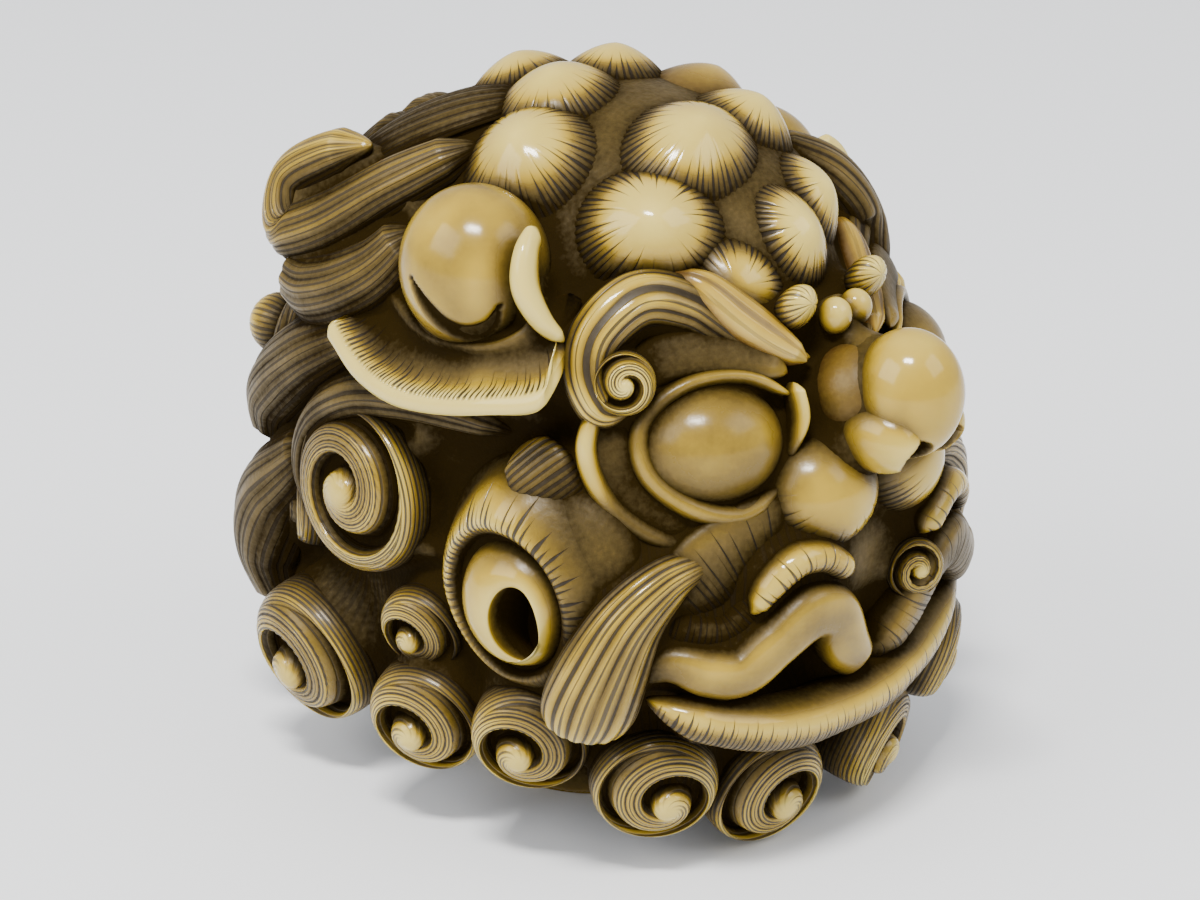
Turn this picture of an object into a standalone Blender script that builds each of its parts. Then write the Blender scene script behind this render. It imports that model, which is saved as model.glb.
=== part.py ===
# Ivory netsuke: the head of a shishi (guardian lion), carved in the round from one piece.
# The face looks along -Y, +Z is up, and the floor is Z = 0 under the middle of the head.
# The carving is laid out in carving units (cu), shares of the head's height: the whole
# head is HEIGHT_CU of them tall. Side features are given with x measured outwards from
# the middle plane, and are carved on both sides.
import math

import bmesh
import bpy
import numpy as np

# Driving dimensions in metres
HEIGHT = 0.0416                # table to the top of the tallest boss of the crown
CORD_HOLE_WIDTH = 0.0027       # cord tunnel from cheek to cheek, front to back
CORD_HOLE_HEIGHT = 0.0046      # cord tunnel, top to bottom
NECK_RADIUS = 0.0076           # flat underside that the head stands on
NECK_EDGE = 0.0008             # rounding of the underside's edge
MOUTH_GAP = 0.0021             # opening between the lips
MOUTH_DEPTH = 0.0060           # how far the mouth is cut in behind the lips
NOSTRIL_DEPTH = 0.0020         # drilled depth of each nostril
NOSTRIL_RADIUS = 0.00075       # drilled radius of each nostril
GRAIN_OF_CARVING = 0.00034     # finest step that the solid's surface keeps
FACES = 9200                   # triangles that the finished solid is kept to

# Proportions in carving units
HEIGHT_CU = 41.58
UNIT = HEIGHT / HEIGHT_CU
HEART = np.array((0.0, 0.0, 20.0))     # a point deep inside, which the skin surrounds
FAR_DROP = 0.13                # the left side's hair is carved this much lower per unit of width
FAR_BACK = 0.12                # and the left brow and ear this much further back
CHEEK_BOSS = (14.8, -7.1, 16.3)        # middle of the boss round each cord hole
TUNNEL_OFFSET = (-1.2, -0.6)           # the cord tunnel from that middle: forward and down
NECK_FLARE = 2.0                       # how much wider the neck grows where it meets the jaw
NOSE_TIP = (0.0, -21.1, 27.0)          # middle of the round nose
NOSTRIL_OFFSET = (1.5, -1.5, -3.6)     # mouth of each nostril from that middle

# Colour of the polished ivory
IVORY = (0.63, 0.50, 0.27, 1.0)
ROUGHNESS = 0.32

# Masses of the skull: centre, half sizes and squareness of each
MASSES = (
    ((0.0, 0.2, 24.0), (13.9, 17.2, 16.3), 2.1),
    ((0.0, -1.8, 14.0), (14.0, 16.2, 11.4), 2.5),
    ((0.0, 4.6, 17.0), (12.2, 10.4, 13.5), 2.2),
)
BLEND = 0.06                   # softness of the joint between masses
# Swellings (above 0) and hollows (below 0) of the skin: x, y, z, reach, amount
SWELLS = (
    (6.0, -16.5, 18.0, 4.2, 0.11),
    (8.6, -14.5, 25.2, 3.2, -0.12),
    (12.5, -12.5, 20.0, 2.4, -0.07),
    (0.0, -17.5, 31.0, 2.5, -0.05),
    (7.0, -12.5, 30.6, 2.6, -0.10),
    (13.5, -10.5, 27.0, 2.5, -0.04),
)

# Bosses of the crown, seen from above: x, y, half width, half length, turn in degrees
BOSSES = (
    (-3.3, 0.4, 3.7, 2.9, 0), (-7.7, -1.4, 3.9, 3.5, 20), (-1.9, -8.0, 4.4, 3.2, 10),
    (-6.9, -9.3, 3.5, 3.7, 0), (-4.5, -12.8, 2.6, 3.0, 0), (0.1, -13.4, 2.2, 2.9, 0),
    (3.7, -11.8, 2.2, 2.8, 0), (4.2, -7.0, 3.0, 2.7, 0), (2.4, 1.0, 3.1, 2.5, 0),
    (-0.6, 5.2, 3.4, 2.2, 0), (10.4, 1.5, 3.2, 3.2, -20), (6.2, -2.6, 3.2, 2.7, 0),
)
BOSS_RISE = 1.65


def unit_vector(vector):
    """Scales a vector to length 1."""
    vector = np.asarray(vector, float)
    return vector / np.linalg.norm(vector, axis=-1, keepdims=True)


def depth_field(points):
    """Below 0 inside the skull's skin, 0 on it and above 0 outside."""
    total = np.zeros(len(points))
    for centre, half, power in MASSES:
        share = np.abs((points - np.array(centre)) / np.array(half))
        level = (share ** power).sum(axis=1) ** (1.0 / power) - 1.0
        total += np.exp(-level / BLEND)
    field = -BLEND * np.log(total)
    for x, y, z, reach, amount in SWELLS:
        for side in ((1, -1) if x else (1,)):
            gap = points - np.array((side * x, y, z))
            field = field - amount * np.exp(-(gap ** 2).sum(axis=1) / (2.0 * reach ** 2))
    return field


def skin(origins, directions):
    """Where rays from inside the skull leave its skin."""
    origins = np.atleast_2d(np.asarray(origins, float))
    directions = unit_vector(np.atleast_2d(directions))
    near = np.zeros(len(directions))
    far = np.full(len(directions), 34.0)
    for _ in range(22):
        middle = (near + far) / 2.0
        inside = depth_field(origins + directions * middle[:, None]) < 0.0
        near = np.where(inside, middle, near)
        far = np.where(inside, far, middle)
    return origins + directions * near[:, None]


def skin_normal(points):
    """Outward direction of the skin at points on it."""
    step = 0.05
    slope = [depth_field(points + np.eye(3)[k] * step) - depth_field(points - np.eye(3)[k] * step)
             for k in range(3)]
    return unit_vector(np.stack(slope, axis=1))


def smooth_path(points, count):
    """A smooth curve through the given rows, sampled at even steps of its length."""
    points = np.asarray(points, float)
    ends = np.vstack((2 * points[0] - points[1], points, 2 * points[-1] - points[-2]))
    rows = []
    for k in range(len(points) - 1):
        a, b, c, d = ends[k:k + 4]
        for t in np.linspace(0.0, 1.0, 24, endpoint=False):
            rows.append(0.5 * (2 * b + (c - a) * t + (2 * a - 5 * b + 4 * c - d) * t ** 2
                               + (3 * b - a - 3 * c + d) * t ** 3))
    rows.append(points[-1])
    rows = np.array(rows)
    length = np.concatenate(((0.0,), np.cumsum(np.linalg.norm(np.diff(rows[:, :3], axis=0), axis=1))))
    even = np.linspace(0.0, length[-1], count)
    return np.stack([np.interp(even, length, rows[:, k]) for k in range(rows.shape[1])], axis=1)


def add_loft(carving, rings):
    """Joins a row of equal rings into one closed form with a point at the middle of each end."""
    count = len(rings[0])
    loops = [[carving.verts.new(p * UNIT) for p in ring] for ring in rings]
    for low, high in zip(loops, loops[1:]):
        for k in range(count):
            following = (k + 1) % count
            carving.faces.new((low[k], low[following], high[following], high[k]))
    for loop, ring, flip in ((loops[0], rings[0], True), (loops[-1], rings[-1], False)):
        tip = carving.verts.new(np.mean(ring, axis=0) * UNIT)
        for k in range(count):
            corner = (loop[k], loop[(k + 1) % count], tip)
            carving.faces.new(corner[::-1] if flip else corner)


def add_ball(carving, centre, half, rings=14, sides=20, axes=None):
    """An ellipsoid with its half sizes along the given axes."""
    axes = np.eye(3) if axes is None else np.asarray(axes, float)
    centre = np.asarray(centre, float)
    rows = []
    for k in range(1, rings):
        polar = math.pi * k / rings
        turn = np.linspace(0.0, 2.0 * math.pi, sides, endpoint=False)
        local = np.stack((half[0] * math.sin(polar) * np.cos(turn),
                          half[1] * math.sin(polar) * np.sin(turn),
                          np.full(sides, -half[2] * math.cos(polar))), axis=1)
        rows.append(centre + local @ axes)
    add_loft(carving, rows)


def add_lock(carving, points, widths, heights, sides=12, steps=36):
    """A lock, lip or fold: a rounded band along a path that lies on the head.

    widths and heights are half sizes at the path's points: across it, and out from the head.
    """
    path = smooth_path(np.column_stack((points, widths, heights)), steps)
    middle = path[:, :3]
    along = unit_vector(np.gradient(middle, axis=0))
    outward = unit_vector(middle - HEART)
    across = unit_vector(np.cross(along, outward))
    outward = unit_vector(np.cross(across, along))
    turn = np.linspace(0.0, 2.0 * math.pi, sides, endpoint=False)
    rings = []
    for k in range(steps):
        ring = (middle[k] + np.outer(np.cos(turn), across[k]) * path[k, 3]
                + np.outer(np.sin(turn), outward[k]) * path[k, 4])
        rings.append(ring)
    add_loft(carving, rings)


def add_curl(carving, centre, axis, radius, hand=1, turns=1.25, rise=1.0, start=0.0, rope=0.25):
    """A snail curl: a rope wound inwards to a raised knob, on a rounded bed."""
    axis = unit_vector(axis)
    level = unit_vector(np.cross((0.0, 0.0, 1.0), axis))
    upright = np.cross(axis, level)
    steps = int(34 * turns)
    share = np.linspace(0.0, 1.0, steps)
    angle = math.radians(start) + hand * 2.0 * math.pi * turns * share
    thick = radius * rope * (1.0 - 0.15 * share)
    reach = (radius - thick[0]) * (1.0 - share ** 2.4) + 0.02
    height = rise * share ** 2 - 0.5 * (1.0 - share) ** 3
    radial = np.outer(np.cos(angle), level) + np.outer(np.sin(angle), upright)
    middle = np.asarray(centre, float) + radial * reach[:, None] + np.outer(height, axis)
    turn = np.linspace(0.0, 2.0 * math.pi, 12, endpoint=False)
    rings = [middle[k] + thick[k] * (np.outer(np.cos(turn), radial[k]) + np.outer(np.sin(turn), axis) * 1.25)
             for k in range(steps)]
    add_loft(carving, rings)
    axes = (level, upright, axis)
    bed = np.asarray(centre, float) - axis * radius * 0.55
    add_ball(carving, bed, (radius * 0.97, radius * 0.97, radius * 0.62), axes=axes)
    knob = np.asarray(centre, float) + axis * rise * 0.7
    add_ball(carving, knob, (radius * 0.3, radius * 0.3, radius * 0.36), rings=10, sides=14, axes=axes)


def add_boss(carving, x, y, half_width, half_length, spin):
    """A low rounded boss whose rim runs out into the skin of the crown."""
    centre = skin((x, y, HEART[2]), (0.0, 0.0, 1.0))[0]
    normal = skin_normal(centre[None])[0]
    level = unit_vector(np.cross((0.0, 1.0, 0.0), normal))
    upright = np.cross(normal, level)
    angle = math.radians(spin)
    wide = level * math.cos(angle) + upright * math.sin(angle)
    tall = upright * math.cos(angle) - level * math.sin(angle)
    turn = np.linspace(0.0, 2.0 * math.pi, 22, endpoint=False)
    rows = []
    for share in (1.0, 0.88, 0.72, 0.52, 0.3, 0.1):
        flat = (centre + np.outer(share * half_width * np.cos(turn), wide)
                + np.outer(share * half_length * np.sin(turn), tall))
        ground = skin(HEART, flat - HEART)
        lift = BOSS_RISE * min(half_width, half_length) / 3.0 * (1.0 - share ** 2.2) ** 0.75 - 0.4 * share ** 3
        rows.append(ground + skin_normal(ground) * lift)
    bottom = [centre + (row - centre) * 0.9 - normal * 1.6 for row in rows[:1]]
    add_loft(carving, bottom + rows)


def place(side, x, y, z, drop=0.0, back=0.0):
    """A point of the right side (side -1) or, skewed a little, of the left side (side 1)."""
    if side > 0:
        return np.array((x, y + back * x, z - drop * x))
    return np.array((-x, y, z))


def add_path(carving, side, rows, drop=0.0, back=0.0, **shape):
    """A lock whose rows give x, y, z, half width and half height."""
    points = [place(side, *row[:3], drop, back) for row in rows]
    add_lock(carving, points, [r[3] for r in rows], [r[4] for r in rows], **shape)


def add_skull(carving):
    """The skull's own skin, from the crown to under the jaw."""
    rows = []
    for polar in np.linspace(0.0, math.pi, 42)[1:-1]:
        turn = np.linspace(0.0, 2.0 * math.pi, 72, endpoint=False)
        ways = np.stack((math.sin(polar) * np.cos(turn), math.sin(polar) * np.sin(turn),
                         np.full(72, -math.cos(polar))), axis=1)
        rows.append(skin(HEART, ways))
    add_loft(carving, rows)


def add_neck(carving):
    """The short round neck, which ends in the flat underside."""
    radius = NECK_RADIUS / UNIT
    edge = NECK_EDGE / UNIT
    turn = np.linspace(0.0, 2.0 * math.pi, 48, endpoint=False)
    circle = np.stack((np.cos(turn), np.sin(turn), np.zeros(48)), axis=1)
    levels = ((-1.5, radius), (edge, radius), (5.0, radius + NECK_FLARE), (9.0, radius + NECK_FLARE / 2.0))
    add_loft(carving, [circle * reach + np.array((0.0, 0.0, height)) for height, reach in levels])


# The striated dome over the left brow: x, y, z, half width and half height along it
FAR_DOME = ((7.2, -6.4, 35.6, 1.4, 1.2), (9.4, -8.2, 33.8, 2.5, 1.8), (10.6, -9.2, 31.0, 2.7, 2.0),
            (9.4, -11.0, 28.8, 1.3, 1.4))


def add_brow(carving, side):
    """The brow: an S-shaped lock with a curl at its outer end and a flame-shaped lock over it."""
    add_path(carving, side, (
        (2.9, -16.6, 28.8, 0.7, 0.8), (5.2, -13.8, 29.9, 1.0, 1.3), (7.2, -12.0, 31.7, 1.3, 1.5),
        (9.7, -10.6, 32.1, 1.4, 1.7), (11.8, -9.7, 30.6, 1.4, 1.6), (12.6, -10.2, 28.4, 1.2, 1.3),
        (12.6, -11.4, 27.4, 0.9, 1.0)), drop=FAR_DROP, back=FAR_BACK)
    curl = place(side, 12.0, -11.6, 28.8, FAR_DROP, FAR_BACK)
    add_curl(carving, curl, (side * 0.75, -0.75, 0.25), 1.9, hand=-side, rise=0.6, start=90)
    add_path(carving, side, (
        (7.5, -11.4, 33.2, 0.4, 0.5), (6.4, -13.2, 31.9, 1.1, 0.9), (5.0, -14.9, 30.0, 1.2, 1.0),
        (3.3, -16.8, 28.6, 0.6, 0.7)), drop=FAR_DROP, back=FAR_BACK)
    add_ball(carving, place(side, 3.1, -15.6, 31.4), (1.25, 1.2, 1.2), rings=8, sides=12)
    if side > 0:
        add_path(carving, side, FAR_DOME)


def add_eye(carving, side):
    """The bulging eyeball between its inner lid and the outer fold."""
    add_ball(carving, place(side, 8.2, -14.2, 24.9), (3.9, 3.0, 3.3))
    add_path(carving, side, (
        (4.6, -16.8, 27.0, 0.5, 0.6), (6.6, -14.8, 28.1, 0.5, 0.8), (9.2, -13.2, 28.0, 0.5, 0.8),
        (11.2, -12.2, 26.4, 0.5, 0.8), (11.5, -12.8, 24.0, 0.6, 0.9), (10.2, -14.6, 22.2, 0.6, 0.9),
        (8.2, -16.2, 21.6, 0.5, 0.8), (5.8, -17.2, 22.8, 0.4, 0.6)), steps=40, sides=8)
    add_path(carving, side, (
        (12.6, -11.0, 28.2, 0.6, 0.7), (13.5, -10.6, 25.3, 0.8, 0.9), (12.8, -11.6, 22.4, 0.8, 0.9),
        (11.1, -13.8, 20.5, 0.7, 0.8), (8.8, -15.5, 20.0, 0.4, 0.6)), sides=8)
    add_path(carving, side, ((4.5, -16.6, 27.9, 0.4, 0.7), (4.5, -16.9, 25.9, 0.5, 0.8),
                             (5.1, -16.6, 24.0, 0.4, 0.6)), steps=12, sides=8)


def add_nose(carving):
    """The round nose with its wings, and the bridge behind it."""
    add_ball(carving, NOSE_TIP, (2.9, 3.0, 3.5))
    add_ball(carving, (0.0, -18.4, 26.4), (3.4, 3.6, 3.2))
    add_lock(carving, ((0.0, -15.0, 30.5), (0.0, -17.0, 28.9), (0.0, -19.0, 28.0)),
             (1.6, 1.3, 2.0), (1.4, 1.3, 1.5), steps=14)
    for side in (-1, 1):
        add_ball(carving, place(side, 2.0, -20.6, 25.0), (1.5, 2.5, 1.9))
        add_ball(carving, place(side, 0.9, -16.6, 30.6), (0.9, 0.9, 1.0), rings=8, sides=12)


def add_muzzle(carving, side):
    """Whisker pad, the arched fold below it and this side's half of the upper lip."""
    add_ball(carving, place(side, 3.3, -17.6, 21.7), (3.2, 3.0, 3.5))
    add_ball(carving, place(side, 6.8, -14.4, 18.2), (5.4, 4.6, 3.6))
    add_path(carving, side, ((9.0, -18.0, 17.0, 0.5, 0.8), (7.4, -18.7, 18.6, 0.7, 0.9),
                             (5.8, -19.2, 18.9, 0.7, 0.9), (3.8, -19.5, 18.1, 0.7, 0.8)), steps=20, sides=10)
    add_path(carving, side, (
        (13.0, -13.6, 13.7, 0.6, 1.0), (12.0, -15.1, 14.4, 1.0, 1.3), (11.0, -16.3, 13.8, 1.1, 1.5),
        (9.6, -17.3, 13.7, 1.2, 1.5), (8.0, -18.2, 15.0, 1.2, 1.4), (6.1, -18.9, 16.2, 1.3, 1.4),
        (4.2, -19.1, 15.6, 1.2, 1.4), (2.6, -18.7, 13.2, 1.2, 1.4), (1.0, -18.3, 11.6, 1.0, 1.4),
        (0.0, -18.2, 11.3, 0.9, 1.4)), steps=56)


def add_lower_lip(carving):
    """The lower lip, in one band from corner to corner, and the chin under it."""
    rows = ((13.2, -14.2, 12.0, 0.6, 0.9), (12.0, -15.9, 11.4, 0.9, 1.3), (9.0, -17.6, 10.5, 1.1, 1.6),
            (6.0, -18.4, 10.0, 1.1, 1.7), (3.0, -18.8, 9.8, 1.1, 1.7))
    band = [(-x, y, z, w, h) for x, y, z, w, h in rows]
    band += [(0.0, -18.9, 9.8, 1.1, 1.7)]
    band += [(x, y, z + 0.06 * x, w, h) for x, y, z, w, h in rows[::-1]]
    add_lock(carving, [r[:3] for r in band], [r[3] for r in band], [r[4] for r in band], steps=60)


def add_ear(carving, side):
    """The folded ear: a smooth bulb, a flared flap with a rolled rim, and the small front fold."""
    add_ball(carving, place(side, 13.0, -2.4, 33.3, FAR_DROP, FAR_BACK), (3.9, 4.1, 4.3))
    add_ball(carving, place(side, 12.2, -1.6, 30.6, FAR_DROP, FAR_BACK), (3.4, 4.4, 3.6))
    rim = smooth_path(((15.0, 6.0, 28.4), (16.2, 2.2, 27.0), (17.0, -2.4, 27.1), (17.0, -6.4, 27.8),
                       (15.8, -9.6, 28.6), (14.4, -8.9, 30.8)), 24)
    root = smooth_path(((13.6, 3.2, 30.8), (14.6, 1.0, 30.2), (15.4, -2.2, 30.0), (15.2, -5.0, 30.4),
                        (14.4, -6.6, 31.4), (13.4, -6.9, 32.6)), 24)
    rings = []
    for lip, base in zip(rim, root):
        inward = np.array((-1.0, 0.0, 0.2))
        hollow = lip * 0.5 + base * 0.5 + inward * 0.6
        under = lip * 0.5 + base * 0.5 + np.array((-2.6, 0.0, -0.6))
        ring = (base, hollow, lip + (0.0, 0.0, 0.5), lip, lip - (0.5, 0.0, 0.6), under,
                base + np.array((-3.0, 0.0, 0.0)))
        rings.append(np.array([place(side, *point, FAR_DROP, FAR_BACK) for point in ring]))
    add_loft(carving, rings)
    add_path(carving, side, ((12.9, -6.6, 36.0, 0.6, 0.9), (14.4, -7.0, 34.6, 0.9, 1.1),
                             (14.3, -7.9, 32.6, 0.9, 1.1), (13.4, -8.9, 31.0, 0.6, 0.8)),
             drop=FAR_DROP, back=FAR_BACK, steps=18, sides=10)


def add_cheek(carving, side):
    """The boss that frames the cord hole, in its hooded socket, and the tuft of the jaw."""
    add_ball(carving, place(side, *CHEEK_BOSS), (3.0, 3.4, 3.7))
    add_path(carving, side, (
        (14.8, -3.4, 12.2, 0.8, 1.2), (15.2, -2.2, 15.2, 1.0, 1.5), (15.3, -2.8, 18.6, 1.1, 1.6),
        (15.4, -5.2, 21.4, 1.3, 1.6), (15.2, -8.2, 22.0, 1.3, 1.5), (14.4, -10.8, 19.6, 1.0, 1.4),
        (14.2, -11.4, 16.4, 0.8, 1.2)), steps=34, sides=10)
    add_path(carving, side, (
        (9.6, -15.4, 18.7, 0.5, 0.6), (12.0, -14.6, 18.6, 1.3, 1.0), (14.2, -13.8, 16.8, 1.9, 1.3),
        (15.2, -12.8, 13.8, 2.3, 1.5), (15.2, -11.8, 11.2, 2.2, 1.4), (14.8, -11.0, 9.4, 1.1, 0.9)), steps=30)


# Curls of the mane and beard: bearing from the face, reach, height, radius, hand, bearing of the axis
CURLS = (
    (90, 14.6, 7.2, 3.4, 1, 90), (91, 14.6, 12.4, 2.5, 1, 91), (126, 16.4, 7.8, 4.3, 1, 108),
    (151, 16.2, 6.6, 3.8, 1, 151), (178, 16.0, 8.4, 3.6, 1, 178),
    (131, 16.0, 16.6, 3.6, -1, 131), (160, 16.6, 14.6, 4.0, 1, 160),
    (146, 16.6, 23.2, 4.0, 1, 146), (174, 17.0, 22.0, 3.6, -1, 174),
)
# The beard's front three curls, which stand higher and further forward on the left side
RIGHT_BEARD = ((16, 15.8, 4.0, 3.6, -1, 16), (40, 16.6, 5.8, 3.5, -1, 40), (63, 16.2, 8.3, 3.3, 1, 63))
LEFT_BEARD = ((17, 16.6, 4.6, 3.4, -1, 17), (37, 17.6, 7.3, 3.3, -1, 37), (52, 17.8, 10.2, 3.0, 1, 52))


def add_mane_curls(carving, side):
    """The snail curls in rows round the jaw, nape and temples."""
    for bearing, reach, height, radius, hand, facing in CURLS + (LEFT_BEARD if side > 0 else RIGHT_BEARD):
        way = math.radians(bearing)
        turned = math.radians(facing)
        axis = (side * math.sin(turned), -math.cos(turned), -0.3 if height < 13 else 0.1)
        centre = place(side, reach * math.sin(way), -reach * math.cos(way), height, FAR_DROP)
        add_curl(carving, centre, axis, radius, hand=-hand * side, start=90 + 60 * side)
    add_curl(carving, place(side, 14.6, 4.4, 19.6), (side * 0.97, 0.1, 0.05), 4.7, hand=-side,
             turns=1.5, rise=1.2, start=90, rope=0.2)
    add_path(carving, side, (
        (12.8, -5.4, 24.6, 0.5, 0.8), (13.8, -2.4, 25.4, 1.0, 1.1), (14.3, 1.2, 25.4, 1.1, 1.2),
        (14.4, 5.0, 24.6, 1.1, 1.2), (14.0, 8.4, 22.2, 1.1, 1.1), (13.6, 9.6, 18.8, 1.0, 1.1),
        (13.4, 8.2, 15.4, 0.6, 0.8)), steps=36, sides=10)


# Locks of the back of the head: bearing, lowest height, half width, bend
BACK_LOCKS = ((176, 25.0, 3.0, 6), (150, 26.0, 3.2, 8), (124, 29.0, 2.8, 6))


def add_back_hair(carving, side):
    """Locks that sweep from the crown and temples to the back of the head."""
    add_path(carving, side, (
        (4.0, 1.6, 39.6, 1.4, 0.7), (5.6, 4.6, 38.7, 2.8, 1.0), (7.0, 7.8, 36.9, 3.2, 1.2),
        (7.8, 10.8, 34.4, 2.6, 1.2), (7.6, 13.4, 31.4, 1.4, 1.0)), drop=FAR_DROP, steps=30)
    add_path(carving, side, (
        (8.0, 1.6, 37.8, 1.0, 1.2), (10.2, 5.0, 35.6, 1.8, 1.8), (11.3, 9.2, 32.8, 2.0, 2.0),
        (11.4, 12.2, 32.0, 1.8, 1.9), (10.8, 12.6, 34.4, 1.6, 1.7), (10.3, 10.2, 36.2, 1.5, 1.5),
        (10.2, 7.6, 37.3, 1.1, 1.1)), drop=FAR_DROP, steps=44)
    add_path(carving, side, (
        (11.8, 2.6, 33.8, 1.6, 1.6), (12.5, 4.8, 31.2, 2.2, 2.1), (12.2, 8.6, 29.4, 2.4, 2.3),
        (11.2, 12.2, 29.6, 2.0, 2.0)), drop=FAR_DROP, steps=28)
    add_path(carving, side, (
        (12.6, 5.6, 28.0, 1.8, 1.6), (12.0, 9.8, 25.4, 2.5, 2.4), (10.8, 13.8, 21.8, 2.5, 2.6),
        (10.2, 15.0, 18.2, 1.4, 1.8)), drop=FAR_DROP, steps=28)
    add_path(carving, side, (
        (12.4, 9.6, 20.2, 1.5, 1.8), (11.0, 13.6, 16.2, 2.6, 3.0), (10.2, 15.4, 12.0, 2.8, 3.0),
        (10.0, 14.6, 7.8, 1.6, 2.0)), drop=FAR_DROP, steps=28)
    add_ball(carving, place(side, 8.8, 16.6, 24.6), (1.8, 1.8, 1.8), rings=8, sides=12)
    for bearing, lowest, half_width, bend in BACK_LOCKS:
        rows = []
        for share in np.linspace(0.0, 1.0, 6):
            way = math.radians(bearing + bend * math.sin(share * math.pi))
            level = 38.0 + (lowest - 38.0) * share
            spot = skin((0.0, 2.0, level - 5.0), (side * math.sin(way), -math.cos(way), 0.4))[0]
            rows.append((*spot, half_width * (0.35 + 0.65 * math.sin(math.pi * (0.1 + 0.8 * share))), 1.3))
        add_lock(carving, [r[:3] for r in rows], [r[3] for r in rows], [r[4] for r in rows], steps=26)


def carve_head():
    """Every form of the head as closed shapes that run into each other."""
    carving = bmesh.new()
    add_skull(carving)
    add_neck(carving)
    for boss in BOSSES:
        add_boss(carving, *boss)
    add_nose(carving)
    add_lower_lip(carving)
    for side in (-1, 1):
        add_brow(carving, side)
        add_eye(carving, side)
        add_muzzle(carving, side)
        add_ear(carving, side)
        add_cheek(carving, side)
        add_mane_curls(carving, side)
        add_back_hair(carving, side)
    bmesh.ops.recalc_face_normals(carving, faces=carving.faces)
    return carving


def keep_outer_skin(mesh):
    """Deletes every shell but the largest, so the solid has no closed hollow inside."""
    shell = bmesh.new()
    shell.from_mesh(mesh)
    shell.verts.ensure_lookup_table()
    seen = set()
    islands = []
    for first in shell.verts:
        if first.index in seen:
            continue
        seen.add(first.index)
        island = [first]
        for vert in island:
            for edge in vert.link_edges:
                other = edge.other_vert(vert)
                if other.index not in seen:
                    seen.add(other.index)
                    island.append(other)
        islands.append(island)
    largest = max(islands, key=len)
    spare = [vert for island in islands if island is not largest for vert in island]
    bmesh.ops.delete(shell, geom=spare, context="VERTS")
    shell.to_mesh(mesh)
    shell.free()


def new_object(name, bm):
    """Puts a mesh into the scene under a name."""
    mesh = bpy.data.meshes.new(name)
    bm.to_mesh(mesh)
    bm.free()
    made = bpy.data.objects.new(name, mesh)
    bpy.context.collection.objects.link(made)
    return made


def as_cutter(made, body):
    """Hides a shape and takes it out of the body."""
    made.hide_render = True
    made.display_type = "WIRE"
    cut = body.modifiers.new(made.name, "BOOLEAN")
    cut.operation = "DIFFERENCE"
    cut.solver = "EXACT"
    cut.object = made


def block_cutter(name, low, high):
    """A rectangular cutter between two corners in metres."""
    bm = bmesh.new()
    bmesh.ops.create_cube(bm, size=1.0)
    for vert in bm.verts:
        vert.co = [low[k] + (vert.co[k] + 0.5) * (high[k] - low[k]) for k in range(3)]
    return new_object(name, bm)


def cord_cutter():
    """An oval tunnel from cheek to cheek."""
    bm = bmesh.new()
    turn = np.linspace(0.0, 2.0 * math.pi, 20, endpoint=False)
    centre = np.array((0.0, CHEEK_BOSS[1] + TUNNEL_OFFSET[0], CHEEK_BOSS[2] + TUNNEL_OFFSET[1]))
    half_y = CORD_HOLE_WIDTH / 2.0 / UNIT
    half_z = CORD_HOLE_HEIGHT / 2.0 / UNIT
    oval = np.stack((np.zeros(20), half_y * np.cos(turn), half_z * np.sin(turn)), axis=1)
    add_loft(bm, [oval + centre + np.array((x, 0.0, 0.0)) for x in (-24.0, 24.0)])
    bmesh.ops.recalc_face_normals(bm, faces=bm.faces)
    return new_object("cord_tunnel", bm)


def mouth_cutter():
    """The slot between the lips: it rises in the middle of each half as the upper lip does."""
    bm = bmesh.new()
    half = MOUTH_GAP / 2.0 / UNIT
    right = ((12.3, 12.7, 0.3), (9.6, 12.0, 0.45), (8.2, 12.3, 0.8), (6.4, 12.8, 1.5), (4.4, 12.7, 1.5),
             (2.8, 11.6, 0.7), (0.0, 10.8, 0.3))
    rows = [(-x, z, open_share) for x, z, open_share in right]
    rows += [(x, z + 0.03 * x, open_share) for x, z, open_share in right[-2::-1]]
    rings = []
    for x, z, open_share in rows:
        front = -24.0
        back = -math.sqrt(max(0.0, 1.0 - (abs(x) / 17.0) ** 2.5)) * 18.5 + MOUTH_DEPTH / UNIT
        low = z - half * open_share
        high = z + half * open_share
        rings.append(np.array(((x, front, low), (x, back, low), (x, back, high), (x, front, high))))
    add_loft(bm, rings)
    bmesh.ops.recalc_face_normals(bm, faces=bm.faces)
    return new_object("mouth_slot", bm)


def nostril_cutter(side):
    """A drilled nostril in the underside of the nose."""
    bm = bmesh.new()
    radius = NOSTRIL_RADIUS / UNIT
    way = unit_vector((side * -0.1, 0.75, 0.9))
    level = unit_vector(np.cross((1.0, 0.0, 0.0), way))
    mouth = np.array(NOSE_TIP) + np.array(NOSTRIL_OFFSET) * (side, 1.0, 1.0)
    turn = np.linspace(0.0, 2.0 * math.pi, 12, endpoint=False)
    circle = np.outer(np.cos(turn), np.cross(way, level)) * radius + np.outer(np.sin(turn), level) * radius
    add_loft(bm, [mouth - way * 1.5 + circle, mouth + way * NOSTRIL_DEPTH / UNIT + circle * 0.7])
    bmesh.ops.recalc_face_normals(bm, faces=bm.faces)
    return new_object("nostril_left" if side > 0 else "nostril_right", bm)


def ivory_material():
    """Polished, age-toned ivory."""
    material = bpy.data.materials.new("ivory")
    material.use_nodes = True
    shader = material.node_tree.nodes["Principled BSDF"]
    shader.inputs["Base Color"].default_value = IVORY
    shader.inputs["Roughness"].default_value = ROUGHNESS
    shader.inputs["Metallic"].default_value = 0.0
    return material


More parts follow.
